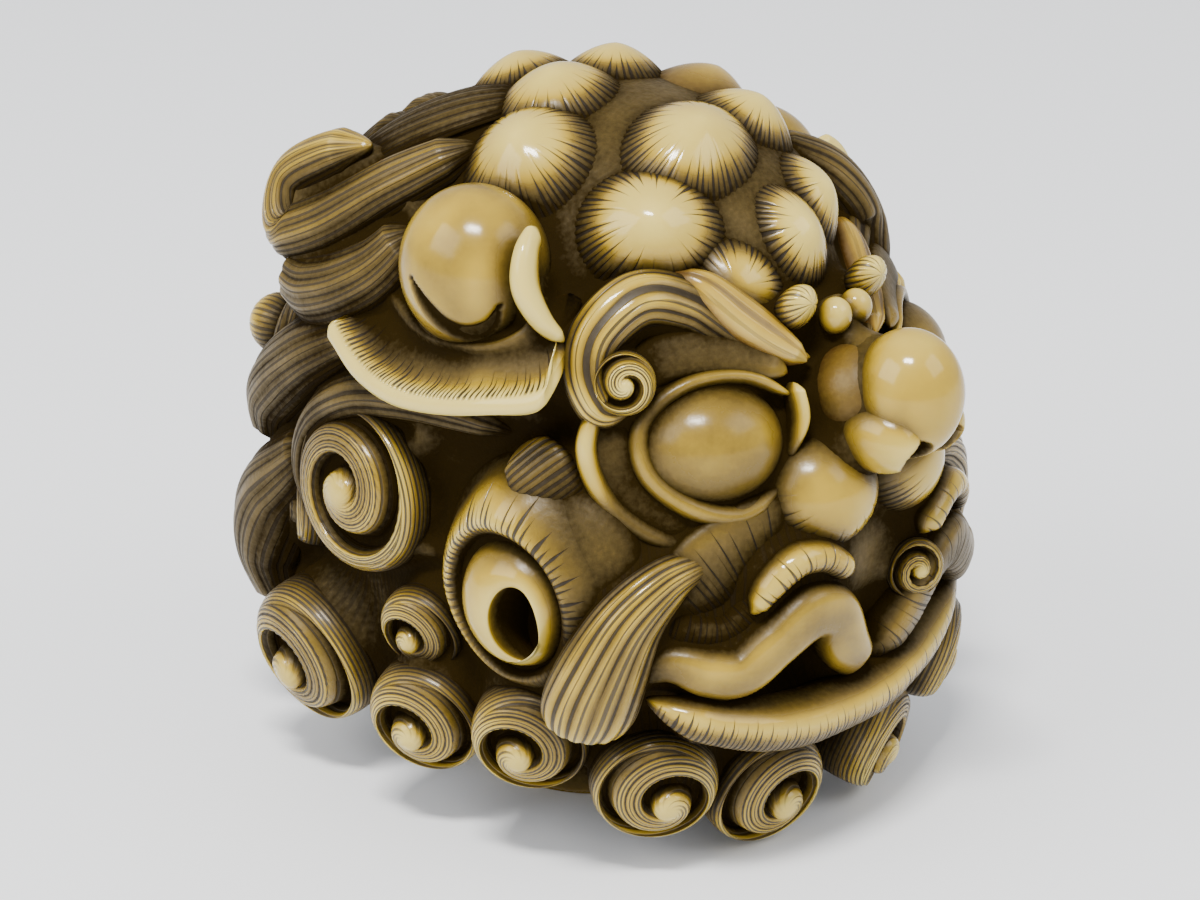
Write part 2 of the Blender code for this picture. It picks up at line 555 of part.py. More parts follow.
def build():
    """Models the head, one solid."""
    for old in list(bpy.data.objects):
        bpy.data.objects.remove(old, do_unlink=True)
    draft = new_object("draft", carve_head())
    merge = draft.modifiers.new("merge", "REMESH")
    merge.mode = "VOXEL"
    merge.voxel_size = GRAIN_OF_CARVING
    soften = draft.modifiers.new("soften", "SMOOTH")
    soften.factor = 0.5
    soften.iterations = 1
    mesh = bpy.data.meshes.new_from_object(draft.evaluated_get(bpy.context.evaluated_depsgraph_get()))
    bpy.data.objects.remove(draft, do_unlink=True)
    keep_outer_skin(mesh)
    head = bpy.data.objects.new("head", mesh)
    bpy.context.collection.objects.link(head)
    fewer = head.modifiers.new("fewer_faces", "DECIMATE")
    fewer.ratio = FACES / (2.0 * len(mesh.polygons))
    as_cutter(block_cutter("floor", (-1.0, -1.0, -1.0), (1.0, 1.0, 0.0)), head)
    as_cutter(cord_cutter(), head)
    as_cutter(mouth_cutter(), head)
    for side in (-1, 1):
        as_cutter(nostril_cutter(side), head)
    mesh.materials.clear()
    mesh.materials.append(ivory_material())
    mesh.shade_smooth()


build()
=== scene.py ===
# Looks of the ivory netsuke: every form of the shishi's head as fine carving, in aged and
# polished ivory with ink-dark engraved hair. It is laid out in carving units (cu) like the
# solid: the face looks along -Y, +Z is up and side features have x measured outwards.
import math

import bpy
import numpy as np
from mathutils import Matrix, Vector
from mathutils.bvhtree import BVHTree


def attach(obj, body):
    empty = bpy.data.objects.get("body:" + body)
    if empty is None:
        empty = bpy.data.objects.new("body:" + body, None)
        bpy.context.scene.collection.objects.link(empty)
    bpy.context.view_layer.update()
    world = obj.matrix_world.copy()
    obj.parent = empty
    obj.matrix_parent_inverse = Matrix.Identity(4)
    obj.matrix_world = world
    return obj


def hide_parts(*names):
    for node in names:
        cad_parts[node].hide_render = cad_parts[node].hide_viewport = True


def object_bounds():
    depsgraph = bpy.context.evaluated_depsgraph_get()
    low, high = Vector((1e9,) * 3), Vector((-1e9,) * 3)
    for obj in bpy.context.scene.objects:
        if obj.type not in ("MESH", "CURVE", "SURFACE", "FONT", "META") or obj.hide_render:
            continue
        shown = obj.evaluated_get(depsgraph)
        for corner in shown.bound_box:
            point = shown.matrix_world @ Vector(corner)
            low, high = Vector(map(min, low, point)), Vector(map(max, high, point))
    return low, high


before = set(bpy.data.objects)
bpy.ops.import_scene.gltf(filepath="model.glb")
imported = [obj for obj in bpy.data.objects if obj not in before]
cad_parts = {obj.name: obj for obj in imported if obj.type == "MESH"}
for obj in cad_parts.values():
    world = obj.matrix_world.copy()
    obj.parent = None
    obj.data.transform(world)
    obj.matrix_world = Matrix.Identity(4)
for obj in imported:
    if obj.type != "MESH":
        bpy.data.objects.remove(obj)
cad_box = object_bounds()

# Layout, in carving units
HEIGHT_CU = 41.58              # height of the solid
UNIT = (cad_box[1].z - cad_box[0].z) / HEIGHT_CU      # metres in one carving unit
HEART = np.array((0.0, 0.0, 20.0))
FAR_DROP = 0.13                # the left side's hair is carved this much lower per unit of width
FAR_BACK = 0.12                # and the left brow and ear this much further back
SKEW = (FAR_DROP, FAR_BACK)
NECK_RADIUS = 7.6
GOLDEN = 0.618034              # steps of these shares make the strokes uneven without a pattern
SECOND = 0.7548777
STROKE_LENGTH = (0.62, 0.75)   # shortest engraved stroke and the spread above it, as shares
STROKE_WIDTH = (0.16, 0.18)    # half width of the finest stroke and the spread above it
STROKE_TAPER = 0.6             # share of its length over which a stroke thins out
RAY_REACH = 34.0               # no part of the skin lies further from the heart than this
HAIR_PITCH = 0.29              # width of one engraved hair of a boss

# Masses of the skull: centre, half sizes and squareness of each
MASSES = (
    ((0.0, 0.2, 24.0), (13.9, 17.2, 16.3), 2.1),
    ((0.0, -1.8, 14.0), (14.0, 16.2, 11.4), 2.5),
    ((0.0, 4.6, 17.0), (12.2, 10.4, 13.5), 2.2),
)
BLEND = 0.06
# Swellings (above 0) and hollows (below 0) of the skin: x, y, z, reach, amount
SWELLS = (
    (6.0, -16.5, 18.0, 4.2, 0.11), (8.6, -14.5, 25.2, 3.2, -0.12), (12.5, -12.5, 20.0, 2.4, -0.07),
    (0.0, -17.5, 31.0, 2.5, -0.05), (7.0, -12.5, 30.6, 2.6, -0.10), (13.5, -10.5, 27.0, 2.5, -0.04),
    (10.4, -15.6, 12.6, 1.5, -0.16), (6.2, -17.0, 13.2, 2.0, -0.30), (2.6, -17.6, 12.0, 1.6, -0.24),
)
# Bosses of the crown, seen from above: x, y, half width, half length, turn in degrees
BOSSES = (
    (-3.3, 0.4, 3.7, 2.9, 0), (-7.7, -1.4, 3.9, 3.5, 20), (-1.9, -8.0, 4.4, 3.2, 10),
    (-6.9, -9.3, 3.5, 3.7, 0), (-4.5, -12.8, 2.6, 3.0, 0), (0.1, -13.4, 2.2, 2.9, 0),
    (3.7, -11.8, 2.2, 2.8, 0), (4.2, -7.0, 3.0, 2.7, 0), (2.4, 1.0, 3.1, 2.5, 0),
    (-0.6, 5.2, 3.4, 2.2, 0), (10.4, 1.5, 3.2, 3.2, -20),
)
BARE_BOSS = (6.2, -2.6, 3.2, 2.7, 0)
BOSS_RISE = 1.75
BOSS_SPREAD = 1.18             # how far a boss's skirt runs out past its size
# Curls of the mane and beard: bearing from the face, reach, height, radius, hand, bearing of the axis
CURLS = (
    (90, 14.6, 7.2, 3.4, 1, 76), (91, 14.6, 12.4, 2.5, 1, 80), (126, 16.4, 7.8, 4.3, 1, 98),
    (151, 16.2, 6.6, 3.8, 1, 151), (178, 16.0, 8.4, 3.6, 1, 178),
    (137, 15.6, 16.6, 3.6, -1, 137), (160, 16.6, 14.6, 4.0, 1, 160),
    (146, 16.6, 23.2, 4.0, 1, 146), (174, 17.0, 22.0, 3.6, -1, 174),
)
# The beard's front three curls, which stand higher and further forward on the left side
RIGHT_BEARD = ((16, 15.8, 4.0, 3.6, -1, 16), (40, 16.6, 5.8, 3.5, -1, 40), (63, 16.2, 8.3, 3.3, 1, 63))
LEFT_BEARD = ((17, 16.6, 4.6, 3.4, -1, 17), (37, 18.8, 8.4, 3.4, -1, 37), (52, 18.8, 11.2, 3.0, 1, 46))
FILL_REACH = 1.4               # how softly the ground fills the gaps between the forms
FILL_SHARE = 0.40              # and how full a spot is at the ground's surface


def unit_vector(vector):
    """Scales vectors to length 1."""
    vector = np.asarray(vector, float)
    return vector / np.maximum(np.linalg.norm(vector, axis=-1, keepdims=True), 1e-12)


def fade(low, high, value):
    """0 below low, 1 above high and a smooth step between."""
    share = np.clip((np.asarray(value, float) - low) / (high - low), 0.0, 1.0)
    return share * share * (3.0 - 2.0 * share)


def depth_field(points):
    """Below 0 inside the skull's skin, 0 on it and above 0 outside."""
    total = np.zeros(len(points))
    for centre, half, power in MASSES:
        share = np.abs((points - np.array(centre)) / np.array(half))
        total += np.exp(-((share ** power).sum(axis=1) ** (1.0 / power) - 1.0) / BLEND)
    field = -BLEND * np.log(total)
    for x, y, z, reach, amount in SWELLS:
        for side in ((1, -1) if x else (1,)):
            gap = points - np.array((side * x, y, z))
            field = field - amount * np.exp(-(gap ** 2).sum(axis=1) / (2.0 * reach ** 2))
    return field


def skin(origins, directions):
    """Where rays from inside the skull leave its skin."""
    directions = unit_vector(np.atleast_2d(directions))
    near = np.zeros(len(directions))
    far = np.full(len(directions), RAY_REACH)
    for _ in range(18):
        middle = (near + far) / 2.0
        inside = depth_field(origins + directions * middle[:, None]) < 0.0
        near = np.where(inside, middle, near)
        far = np.where(inside, far, middle)
    return origins + directions * near[:, None]


def skin_normal(points, step=0.05):
    """Outward direction of the skin at points on it."""
    ways = np.eye(3) * step
    slope = [depth_field(points + way) - depth_field(points - way) for way in ways]
    return unit_vector(np.stack(slope, axis=1))


def smooth_path(rows, count):
    """A smooth curve through the given rows, sampled at even steps of its length."""
    rows = np.asarray(rows, float)
    ends = np.vstack((2 * rows[0] - rows[1], rows, 2 * rows[-1] - rows[-2]))
    curve = []
    for k in range(len(rows) - 1):
        a, b, c, d = ends[k:k + 4]
        t = np.linspace(0.0, 1.0, 24, endpoint=False)[:, None]
        curve.append(0.5 * (2 * b + (c - a) * t + (2 * a - 5 * b + 4 * c - d) * t ** 2
                            + (3 * b - a - 3 * c + d) * t ** 3))
    curve = np.vstack(curve + [rows[-1:]])
    length = np.concatenate(((0.0,), np.cumsum(np.linalg.norm(np.diff(curve[:, :3], axis=0), axis=1))))
    even = np.linspace(0.0, length[-1], count)
    return np.stack([np.interp(even, length, curve[:, k]) for k in range(rows.shape[1])], axis=1)


def place(side, x, y, z, drop=0.0, back=0.0):
    """A point of the right side (side -1) or, skewed a little, of the left side (side 1)."""
    if side > 0:
        return np.array((x, y + back * x, z - drop * x))
    return np.array((-x, y, z))


def place_rows(side, table, *skew):
    """A band's rows on one side: x, y, z, half width and half height in each."""
    return [(*place(side, *row[:3], *skew), *row[3:]) for row in table]


def groove_depth(stroke, progress):
    """How deep the engraving is (0 to 1) at a stroke number and a share of the stroke's length."""
    number = np.floor(stroke)
    length = STROKE_LENGTH[0] + STROKE_LENGTH[1] * np.mod(number * GOLDEN, 1.0)
    width = STROKE_WIDTH[0] + STROKE_WIDTH[1] * np.mod(number * SECOND + 0.3, 1.0)
    taper = np.clip((length - progress) / STROKE_TAPER, 0.0, 1.0)
    off = np.abs(stroke - number - 0.5)
    return np.clip(1.0 - off / (width * 1.5 + 0.02), 0.0, 1.0) * taper


def grid_normals(grid):
    """Outward normals of a closed grid of rings."""
    down = np.gradient(grid, axis=0)
    ring = np.roll(grid, -1, axis=1) - np.roll(grid, 1, axis=1)
    normal = unit_vector(np.cross(ring, down))
    outward = (normal * (grid - grid.mean(axis=(0, 1)))).sum(axis=2).mean()
    return normal if outward > 0.0 else -normal


def raise_by(grid, height):
    """Moves each point of a grid out along the grid's own normal."""
    return grid + grid_normals(grid) * np.asarray(height)[..., None]


class Relief:
    """Closed forms, each a grid of rings, that become one piece of the carving."""

    def __init__(self, name):
        self.name = name
        self.points = []
        self.quads = []
        self.tris = []
        self.quad_strokes = []
        self.tri_strokes = []
        self.marks = []
        self.count = 0

    def add(self, grid, strokes, polish, ink=0.0, stain=0.0):
        """Adds rings (rows, columns, 3) and closes both ends with a fan.

        strokes holds a stroke number and progress for (rows, columns + 1); the polished tone with any
        painted shade in it, ink and stain are single numbers or one for each point.
        """
        rows, columns = grid.shape[:2]
        index = np.arange(rows * columns).reshape(rows, columns) + self.count
        beside = np.roll(index, -1, axis=1)
        quads = np.stack((index[:-1], beside[:-1], beside[1:], index[1:]), axis=-1).reshape(-1, 4)
        corners = (strokes[:-1, :-1], strokes[:-1, 1:], strokes[1:, 1:], strokes[1:, :-1])
        quad_strokes = np.stack(corners, axis=2).reshape(-1, 4, 2)
        tips = self.count + rows * columns + np.arange(2)
        tris = []
        tri_strokes = []
        for end, tip, first, second in ((0, tips[0], beside, index), (-1, tips[1], index, beside)):
            tris.append(np.stack((first[end], second[end], np.full(columns, tip)), axis=1))
            edge = strokes[end]
            middle = (edge[:-1] + edge[1:]) / 2.0
            sides = (edge[1:], edge[:-1]) if end == 0 else (edge[:-1], edge[1:])
            tri_strokes.append(np.stack((*sides, middle), axis=1))
        tris = np.concatenate(tris)
        tri_strokes = np.concatenate(tri_strokes)
        points = np.concatenate((grid.reshape(-1, 3), grid[:1].mean(axis=1), grid[-1:].mean(axis=1)))
        points[:, 2] = np.maximum(points[:, 2], 0.0)
        local = points[quads - self.count] - points.mean(axis=0)
        volume = np.einsum("ij,ij->i", local[:, 0], np.cross(local[:, 1], local[:, 2])).sum()
        volume += np.einsum("ij,ij->i", local[:, 0], np.cross(local[:, 2], local[:, 3])).sum()
        if volume < 0.0:
            quads, quad_strokes = quads[:, ::-1], quad_strokes[:, ::-1]
            tris, tri_strokes = tris[:, ::-1], tri_strokes[:, ::-1]
        marks = np.zeros((len(points), 3))
        for k, value in enumerate((polish, ink, stain)):
            whole = np.broadcast_to(value, (rows, columns))
            marks[:, k] = np.concatenate((whole.ravel(), (whole[0].mean(), whole[-1].mean())))
        self.points.append(points)
        self.quads.append(quads)
        self.tris.append(tris)
        self.quad_strokes.append(quad_strokes)
        self.tri_strokes.append(tri_strokes)
        self.marks.append(marks)
        self.count += len(points)

    def joined(self):
        """All points, quads and triangles of the piece."""
        return np.concatenate(self.points), np.concatenate(self.quads), np.concatenate(self.tris)


def stroke_grid(number, progress, wrap=False):
    """Stroke coordinates of a grid; with wrap the first column is repeated as the last."""
    strokes = np.stack(np.broadcast_arrays(number, progress), axis=-1)
    return np.concatenate((strokes, strokes[:, :1]), axis=1) if wrap else strokes


def still_strokes(rows, columns):
    """Stroke coordinates for a form that has no engraving."""
    return np.full((rows, columns + 1, 2), 9.0)


def turning(columns):
    """Angles round a ring."""
    return np.linspace(0.0, 2.0 * math.pi, columns, endpoint=False)


def add_ball(relief, centre, half, axes=None, rings=44, sides=64, polish=0.8, ink=0.0, hairs=0,
             cap=0.5, edge=1.1, stain=0.0, hang=None, change=None):
    """An ellipsoid whose last axis points out; hairs run from its edge up towards its cap.

    With hang the hairs are only on its lower part; change is a last step for its points, which may also paint
    shade into its tone.
    """
    axes = np.eye(3) if axes is None else unit_vector(axes)
    polar = np.linspace(0.02, math.pi - 0.02, rings)[:, None]
    turn = turning(sides)[None, :]
    local = np.stack((half[0] * np.sin(polar) * np.cos(turn), half[1] * np.sin(polar) * np.sin(turn),
                      half[2] * np.cos(polar) * np.ones_like(turn)), axis=-1)
    grid = np.asarray(centre, float) + local @ axes
    strokes = still_strokes(rings, sides)
    if hairs:
        share = polar / (math.pi / 2.0)
        strokes = stroke_grid(np.linspace(0.0, hairs, sides + 1)[None, :], (edge - share) / (edge - cap))
        if hang is not None:
            low = (grid - np.asarray(centre, float)) @ unit_vector(hang) / max(half)
            ink = ink * fade(-0.15, 0.35, low)
        depth = groove_depth(strokes[:, :-1, 0], strokes[:, :-1, 1]) * fade(1.5, 1.2, share)
        grid = raise_by(grid, -0.08 * depth * ink)
        polish = polish * (1.0 - 0.5 * fade(cap, edge, share) * np.minimum(1.0, ink))
    if change:
        grid, shade = change(grid)
        polish = polish * shade
    relief.add(grid, strokes, polish, ink, stain)


def drilled(mouth, way, radius, depth):
    """A change that sinks a round hole into a form, from its mouth along a way, and paints shade inside it."""
    way = unit_vector(way)

    def change(grid):
        gap = grid - np.asarray(mouth, float)
        off = np.linalg.norm(gap - (gap @ way)[..., None] * way, axis=-1)
        facing = (gap @ way) < depth * 0.8
        sunk = fade(radius, 0.72 * radius, off) * facing
        # Painted shade: the inside of the hole and its mouth are darkened almost to black.
        dark = fade(1.15 * radius, 0.9 * radius, off) * facing
        return grid + way * (sunk * depth)[..., None], 1.0 - 0.95 * dark
    return change


def slit(course, width, depth, steps=40):
    """A change that cuts a narrow slit along a course of points into a form and paints shade in it."""
    line = smooth_path(course, steps)

    def change(grid):
        gap = np.linalg.norm(grid[..., None, :] - line, axis=-1)
        share = gap.argmin(axis=-1) / (steps - 1.0)
        broad = width * np.sin(math.pi * np.clip(share, 0.03, 0.97)) ** 0.6
        off = gap.min(axis=-1) / broad
        # Painted shade: the shallow slit is darkened almost to black.
        return raise_by(grid, -depth * fade(1.0, 0.2, off)), 1.0 - 0.95 * fade(1.2, 0.4, off)
    return change


END_SHARE = 0.09               # share of a band's length in which each end is rounded off
BAND_TUCK = 28.0               # degrees by which a band's engraved outside turns in under it


def frame_along(middle):
    """Directions across and out from the head, for each point of a path."""
    along = unit_vector(np.gradient(middle, axis=0))
    outward = unit_vector(middle - HEART)
    across = unit_vector(np.cross(along, outward))
    return across, unit_vector(np.cross(across, along))


def add_band(relief, rows, strands=6, groove=0.10, lines=3.0, steps=110, sides=44, polish=0.7,
             ink=0.8, cross=None, flat=0.0, stain=0.0, shade=0.45):
    """A lock, lip or fold along a path; rows give x, y, z, half width and half height.

    strands are carved along it, each with finer lines. With cross = (pitch, root, reach) short
    strokes run across it instead, from the share root of its section over the share reach.
    flat squares its section off, and shade darkens it towards the strokes' roots.
    """
    path = smooth_path(rows, steps)
    middle, half_width, half_height = path[:, :3], path[:, 3:4], path[:, 4:5]
    share = np.linspace(0.0, 1.0, steps)[:, None]
    rounded = np.sqrt(np.clip(np.minimum(share, 1.0 - share) / END_SHARE, 0.004, 1.0))
    half_width, half_height = half_width * rounded, half_height * rounded
    across, outward = frame_along(middle)
    outer = np.linspace(math.radians(-BAND_TUCK), math.radians(180.0 + BAND_TUCK), sides)
    inner = np.linspace(math.radians(180.0 + BAND_TUCK), math.radians(360.0 - BAND_TUCK), 8)[1:-1]
    angle = np.concatenate((outer, inner))[None, :]
    wide = np.sign(np.cos(angle)) * np.abs(np.cos(angle)) ** (1.0 - 0.45 * flat)
    tall = np.sign(np.sin(angle)) * np.abs(np.sin(angle)) ** (1.0 - 0.6 * flat)
    grid = (middle[:, None] + (wide * half_width)[..., None] * across[:, None]
            + (tall * half_height)[..., None] * outward[:, None])
    lane = np.concatenate((np.linspace(0.0, 1.0, sides), np.linspace(1.0, 0.0, 8)[1:-1]))[None, :]
    length = np.linspace(0.0, np.linalg.norm(np.diff(middle, axis=0), axis=1).sum(), steps)[:, None]
    width_share = half_width / half_width.max()
    if cross:
        pitch, root, reach = cross
        off = np.abs(lane - root)
        number = length / pitch + 0.25 * np.sin(3.0 * lane + length)
        progress = off / reach
        height = -0.045 * groove_depth(number, progress) * np.minimum(1.0, 1.6 * width_share)
        tone = polish * (1.0 - shade * fade(1.05 * reach, 0.25 * reach, off))
        strength = ink * fade(0.15, 0.5, width_share)
    else:
        wobble = 0.06 * np.sin(length * 0.5 + 7.0 * lane) + 0.03 * np.sin(length * 1.3 + 17.0 * lane)
        course = lane * strands + wobble * 0.35
        valley = 1.0 - np.abs(np.sin(math.pi * course)) ** 0.6
        number = course * lines + 0.5
        progress = 0.22 + 0.5 * np.sin(length * 0.35 + 40.0 * lane) ** 2
        height = -groove * valley * fade(0.1, 0.7, width_share)
        tone = polish * (1.0 - 0.45 * valley * (groove > 0.0))
        strength = ink * fade(0.12, 0.6, width_share)
    # Painted shade: darker down the band's sides and underneath it, away from its pale rubbed crest.
    tone = tone * (0.35 + 0.65 * fade(-0.4, 0.85, np.sin(angle)))
    relief.add(raise_by(grid, height), stroke_grid(number, progress, wrap=True), tone, strength, stain)


def add_curl(relief, centre, axis, radius, side, hand=1, turns=1.5, start=0.0, rise=0.55, wall=1.15,
             sides=72, rings=84, strands=6, polish=0.8, shift=(0.0, 0.0), depth=0.4):
    """A snail curl: one striated rope wound up its side and over its top into a raised knob.

    The rope has turns, starts at an angle in degrees and leaves a hollow of the given depth; rise
    and wall are its heights above and below the rim. Lengths are shares of the radius, and so is
    shift, which moves the knob off the middle: towards the face and up.
    """
    axis = unit_vector(axis)
    level = unit_vector(np.cross((0.0, 0.0, 1.0), axis))
    upright = np.cross(axis, level)
    level = level * -side
    turn = turning(sides)[None, :]
    face = np.sin(np.linspace(0.02, math.pi / 2.0, int(rings * 0.7)))
    wall_rows = np.linspace(1.0, 2.0, rings - len(face) + 1)[1:]
    polar = np.concatenate((face, wall_rows))[:, None]    # 1 is the rim, above it the side wall
    rim = np.minimum(polar, 1.0)
    on_face = polar < 1.0
    bend = math.pi / 2.0 + np.maximum(polar - 1.0, 0.0) * 0.42 * math.pi
    reach = radius * np.where(on_face, 1.18 * rim - 0.18 * rim ** 4, np.sin(bend) ** 0.55)
    lift = radius * np.where(on_face, rise * np.sqrt(1.0 - 0.999 * rim ** 3.0), wall * np.cos(bend))
    pull = radius * np.clip(1.0 - polar, 0.0, 1.0)
    grid = (np.asarray(centre, float) + (reach * np.cos(turn) + shift[0] * pull)[..., None] * level
            + (reach * np.sin(turn) + shift[1] * pull)[..., None] * upright
            + (lift * np.ones_like(turn))[..., None] * axis)
    closed = np.linspace(0.0, 2.0 * math.pi, sides + 1)[None, :]
    whole = turns * rim ** 1.05 + hand * (closed - math.radians(start)) / (2.0 * math.pi)
    share = whole[:, :-1] - np.floor(whole[:, :-1])
    trough = np.sin(math.pi * np.clip(share / 0.56, 0.0, 1.0)) ** 1.4
    hollow = trough * fade(0.10, 0.28, polar) * fade(0.93, 0.68, polar)
    grid = grid - (depth * radius * hollow)[..., None] * axis
    strand = np.abs(np.sin(math.pi * share * strands)) ** 0.6
    fine = fade(0.10, 0.32, polar) * fade(0.88, 0.80, polar)
    knob = np.exp(-(polar / 0.22) ** 2)
    height = 0.1 * radius * knob - 0.07 * (1.0 - strand) * fine * (1.0 - hollow)
    steps = np.diff(np.stack((reach, lift))[..., 0], axis=1, prepend=0.0)
    ring_lines = np.cumsum(np.hypot(*steps))[:, None] / 0.27 + 0.3 * np.sin(3.0 * closed)
    number = np.where(polar < 0.84, whole * strands * 2.0, ring_lines) + 0.5
    strokes = stroke_grid(number, 0.2 + 0.15 * np.sin(2.0 * closed + start + 4.0 * polar))
    # The trough is darkened by its patina together with painted shade.
    tone = polish * (1.0 - 0.85 * hollow) * (1.0 - 0.5 * (1.0 - strand) * fine)
    # Painted shade: darker down the side wall below the rim and a little towards the rim.
    tone = tone * (1.0 - 0.5 * fade(0.88, 1.2, polar) - 0.15 * fade(0.5, 0.9, polar))
    tone = tone + 0.25 * fade(0.3, 0.12, polar)
    strength = 0.95 * fade(0.08, 0.26, polar) * (1.0 - 0.7 * hollow)
    relief.add(raise_by(grid, height), strokes, np.clip(tone, 0.0, 1.0), strength)


def add_boss(relief, x, y, half_width, half_length, spin, bare=False):
    """A low rounded boss with a polished top and a skirt of engraved hairs, or smooth all over."""
    centre = skin(np.array(((x, y, HEART[2]),)), (0.0, 0.0, 1.0))[0]
    normal = skin_normal(centre[None])[0]
    level = unit_vector(np.cross((0.0, 1.0, 0.0), normal))
    upright = np.cross(normal, level)
    angle = math.radians(spin)
    wide = level * math.cos(angle) + upright * math.sin(angle)
    tall = upright * math.cos(angle) - level * math.sin(angle)
    sides = 60 if bare else 204
    turn = turning(sides)
    shares = np.concatenate((np.linspace(0.03, 0.42, 6), np.linspace(0.48, 1.0, 12)))
    hairs = int(2.0 * math.pi * 0.75 * (half_width + half_length) / 2.0 / HAIR_PITCH)
    rise = BOSS_RISE * min(half_width, half_length) / 3.0
    rows = []
    for share in shares:
        flat = (centre + np.outer(share * half_width * BOSS_SPREAD * np.cos(turn), wide)
                + np.outer(share * half_length * BOSS_SPREAD * np.sin(turn), tall))
        ground = skin(HEART, flat - HEART)
        lift = rise * (1.0 - share ** 2) ** 1.2 * (1.0 - 0.25 * share) - 0.1 * share ** 4
        rows.append(ground + skin_normal(ground) * lift)
    grid = np.stack(rows + [centre + (rows[-1] - centre) * 0.9 - normal * 1.4])
    share = np.append(shares, 1.1)[:, None]
    around = np.linspace(0.0, 2.0 * math.pi, sides + 1)
    number = np.linspace(0.0, hairs, sides + 1) + 0.35 * np.sin(5.0 * around + x) * share
    strokes = stroke_grid(number, (1.02 - share) / 0.55)
    above = fade(1.08, 1.0, share)
    depth = groove_depth(strokes[:, :-1, 0], strokes[:, :-1, 1]) * above
    if bare:
        relief.add(grid, strokes, 0.9, 0.0, 0.12)
    else:
        relief.add(raise_by(grid, -0.07 * depth), strokes, 1.25 - 0.65 * fade(0.42, 0.9, share), above)


# Places that the ground between the forms stays out of: x, y, z and reach
KEPT_OPEN = (
    (2.5, -19.0, 12.2, 1.5), (4.5, -19.5, 13.2, 1.8), (6.5, -19.0, 13.2, 1.8), (8.5, -18.0, 12.4, 1.2),
    (11.0, -16.5, 12.6, 1.2), (13.0, -14.8, 12.8, 1.0), (13.6, -8.2, 34.0, 1.3), (16.0, -8.3, 15.7, 2.2),
)
# Places where the ground itself is engraved: x, y, z and reach
HAIRY_GROUND = (
    (6.5, -17.5, 17.5, 2.2), (9.5, -16.0, 17.5, 2.0), (5.0, -18.0, 7.0, 3.0),
    (11.0, -15.0, 8.0, 3.0), (14.0, -11.5, 19.0, 1.8), (12.5, 5.0, 14.0, 2.5),
)
OUTSIDE = 40.0                 # rays that look for the forms from outside start this far away


def add_core(relief, others):
    """The skull's own skin, which fills the ground between the raised forms, matt and dark."""
    rings, sides = 180, 260
    polar = np.linspace(0.012, math.pi - 0.012, rings)
    turn = turning(sides)
    ways = np.stack((np.outer(np.sin(polar), np.sin(turn)), -np.outer(np.sin(polar), np.cos(turn)),
                     np.outer(np.cos(polar), np.ones(sides))), axis=-1)
    ways = ways.reshape(-1, 3)
    flat = skin(HEART, ways)
    base = np.linalg.norm(flat - HEART, axis=1)
    cells, low, tree = solid_cells(others, flat.reshape(rings, sides, 3))
    filled = blurred(cells, FILL_REACH)
    shut = np.ones(len(flat))
    for x, y, z, reach in KEPT_OPEN:
        for side in (-1, 1):
            gap = flat - place(side, x, y, z)
            shut = np.minimum(shut, 1.0 - 1.3 * np.exp(-(gap ** 2).sum(axis=1) / (2.0 * reach ** 2)))
    level = base.copy()
    rising = np.ones(len(flat), bool)
    for step in np.arange(0.1, 8.0, 0.15):
        rising &= sampled(filled, low, flat + ways * step) > FILL_SHARE
        level = np.where(rising, base + step, level)
    shut = np.minimum(shut, 1.0 - 0.85 * fade(31.5, 34.0, flat[:, 2]) * fade(4.0, 1.0, flat[:, 1]))
    level = base + (level - base) * np.clip(shut, 0.0, 1.0)
    for k, way in enumerate(ways):
        outside = Vector(HEART + way * OUTSIDE)
        hit = tree.ray_cast(outside, Vector(-way))[0]
        if hit is not None:
            reached = OUTSIDE - (outside - hit).length
            level[k] = min(level[k], max(base[k], reached - 0.3))
    level = level.reshape(rings, sides)
    for _ in range(3):
        level = (np.roll(level, 1, axis=1) + 2.0 * level + np.roll(level, -1, axis=1)) / 4.0
        level[1:-1] = (level[:-2] + 2.0 * level[1:-1] + level[2:]) / 4.0
    flat = HEART + ways * level.reshape(-1, 1)
    flat[:, 2] = np.maximum(flat[:, 2], 0.3)
    grid = flat.reshape(rings, sides, 3)
    around = np.linspace(0.0, 2.0 * math.pi, sides + 1)[None, :]
    down = polar[:, None]
    strokes = stroke_grid(around * 40.0 + 0.4 * np.sin(down * 9.0 + around * 4.0),
                          0.25 + 0.4 * np.sin(down * 30.0 + around * 50.0))
    hairy = np.zeros(len(flat))
    for x, y, z, reach in HAIRY_GROUND:
        for side in (-1, 1):
            gap = flat - np.array((side * x, y, z))
            hairy = np.maximum(hairy, np.exp(-(gap ** 2).sum(axis=1) / (2.0 * reach ** 2)))
    bare = 0.55 + 0.2 * fade(30.0, 34.0, grid[..., 2])
    relief.add(grid, strokes, bare, (hairy * 0.8).reshape(rings, sides))
    return grid


def add_neck(relief):
    """The short round neck, which ends in the flat underside."""
    turn = turning(96)
    circle = np.stack((np.cos(turn), np.sin(turn), np.zeros(96)), axis=1)
    levels = ((0.0, NECK_RADIUS * 0.02), (0.0, NECK_RADIUS - 0.5), (0.12, NECK_RADIUS - 0.15),
              (0.5, NECK_RADIUS), (5.0, NECK_RADIUS + 2.0), (9.0, NECK_RADIUS + 1.0))
    grid = np.stack([circle * reach + np.array((0.0, 0.0, height)) for height, reach in levels])
    relief.add(grid, still_strokes(*grid.shape[:2]), 0.55)


def add_fold(relief, rows, **settings):
    """A smooth band without engraving."""
    add_band(relief, rows, strands=1, groove=0.0, ink=0.0, **settings)


# The striated dome over the left brow: x, y, z, half width and half height along it
FAR_DOME = ((7.0, -6.2, 36.0, 1.4, 1.2), (9.4, -8.2, 34.0, 2.7, 1.9), (10.7, -9.4, 31.0, 2.8, 2.1),
            (9.4, -11.3, 28.6, 1.3, 1.5))


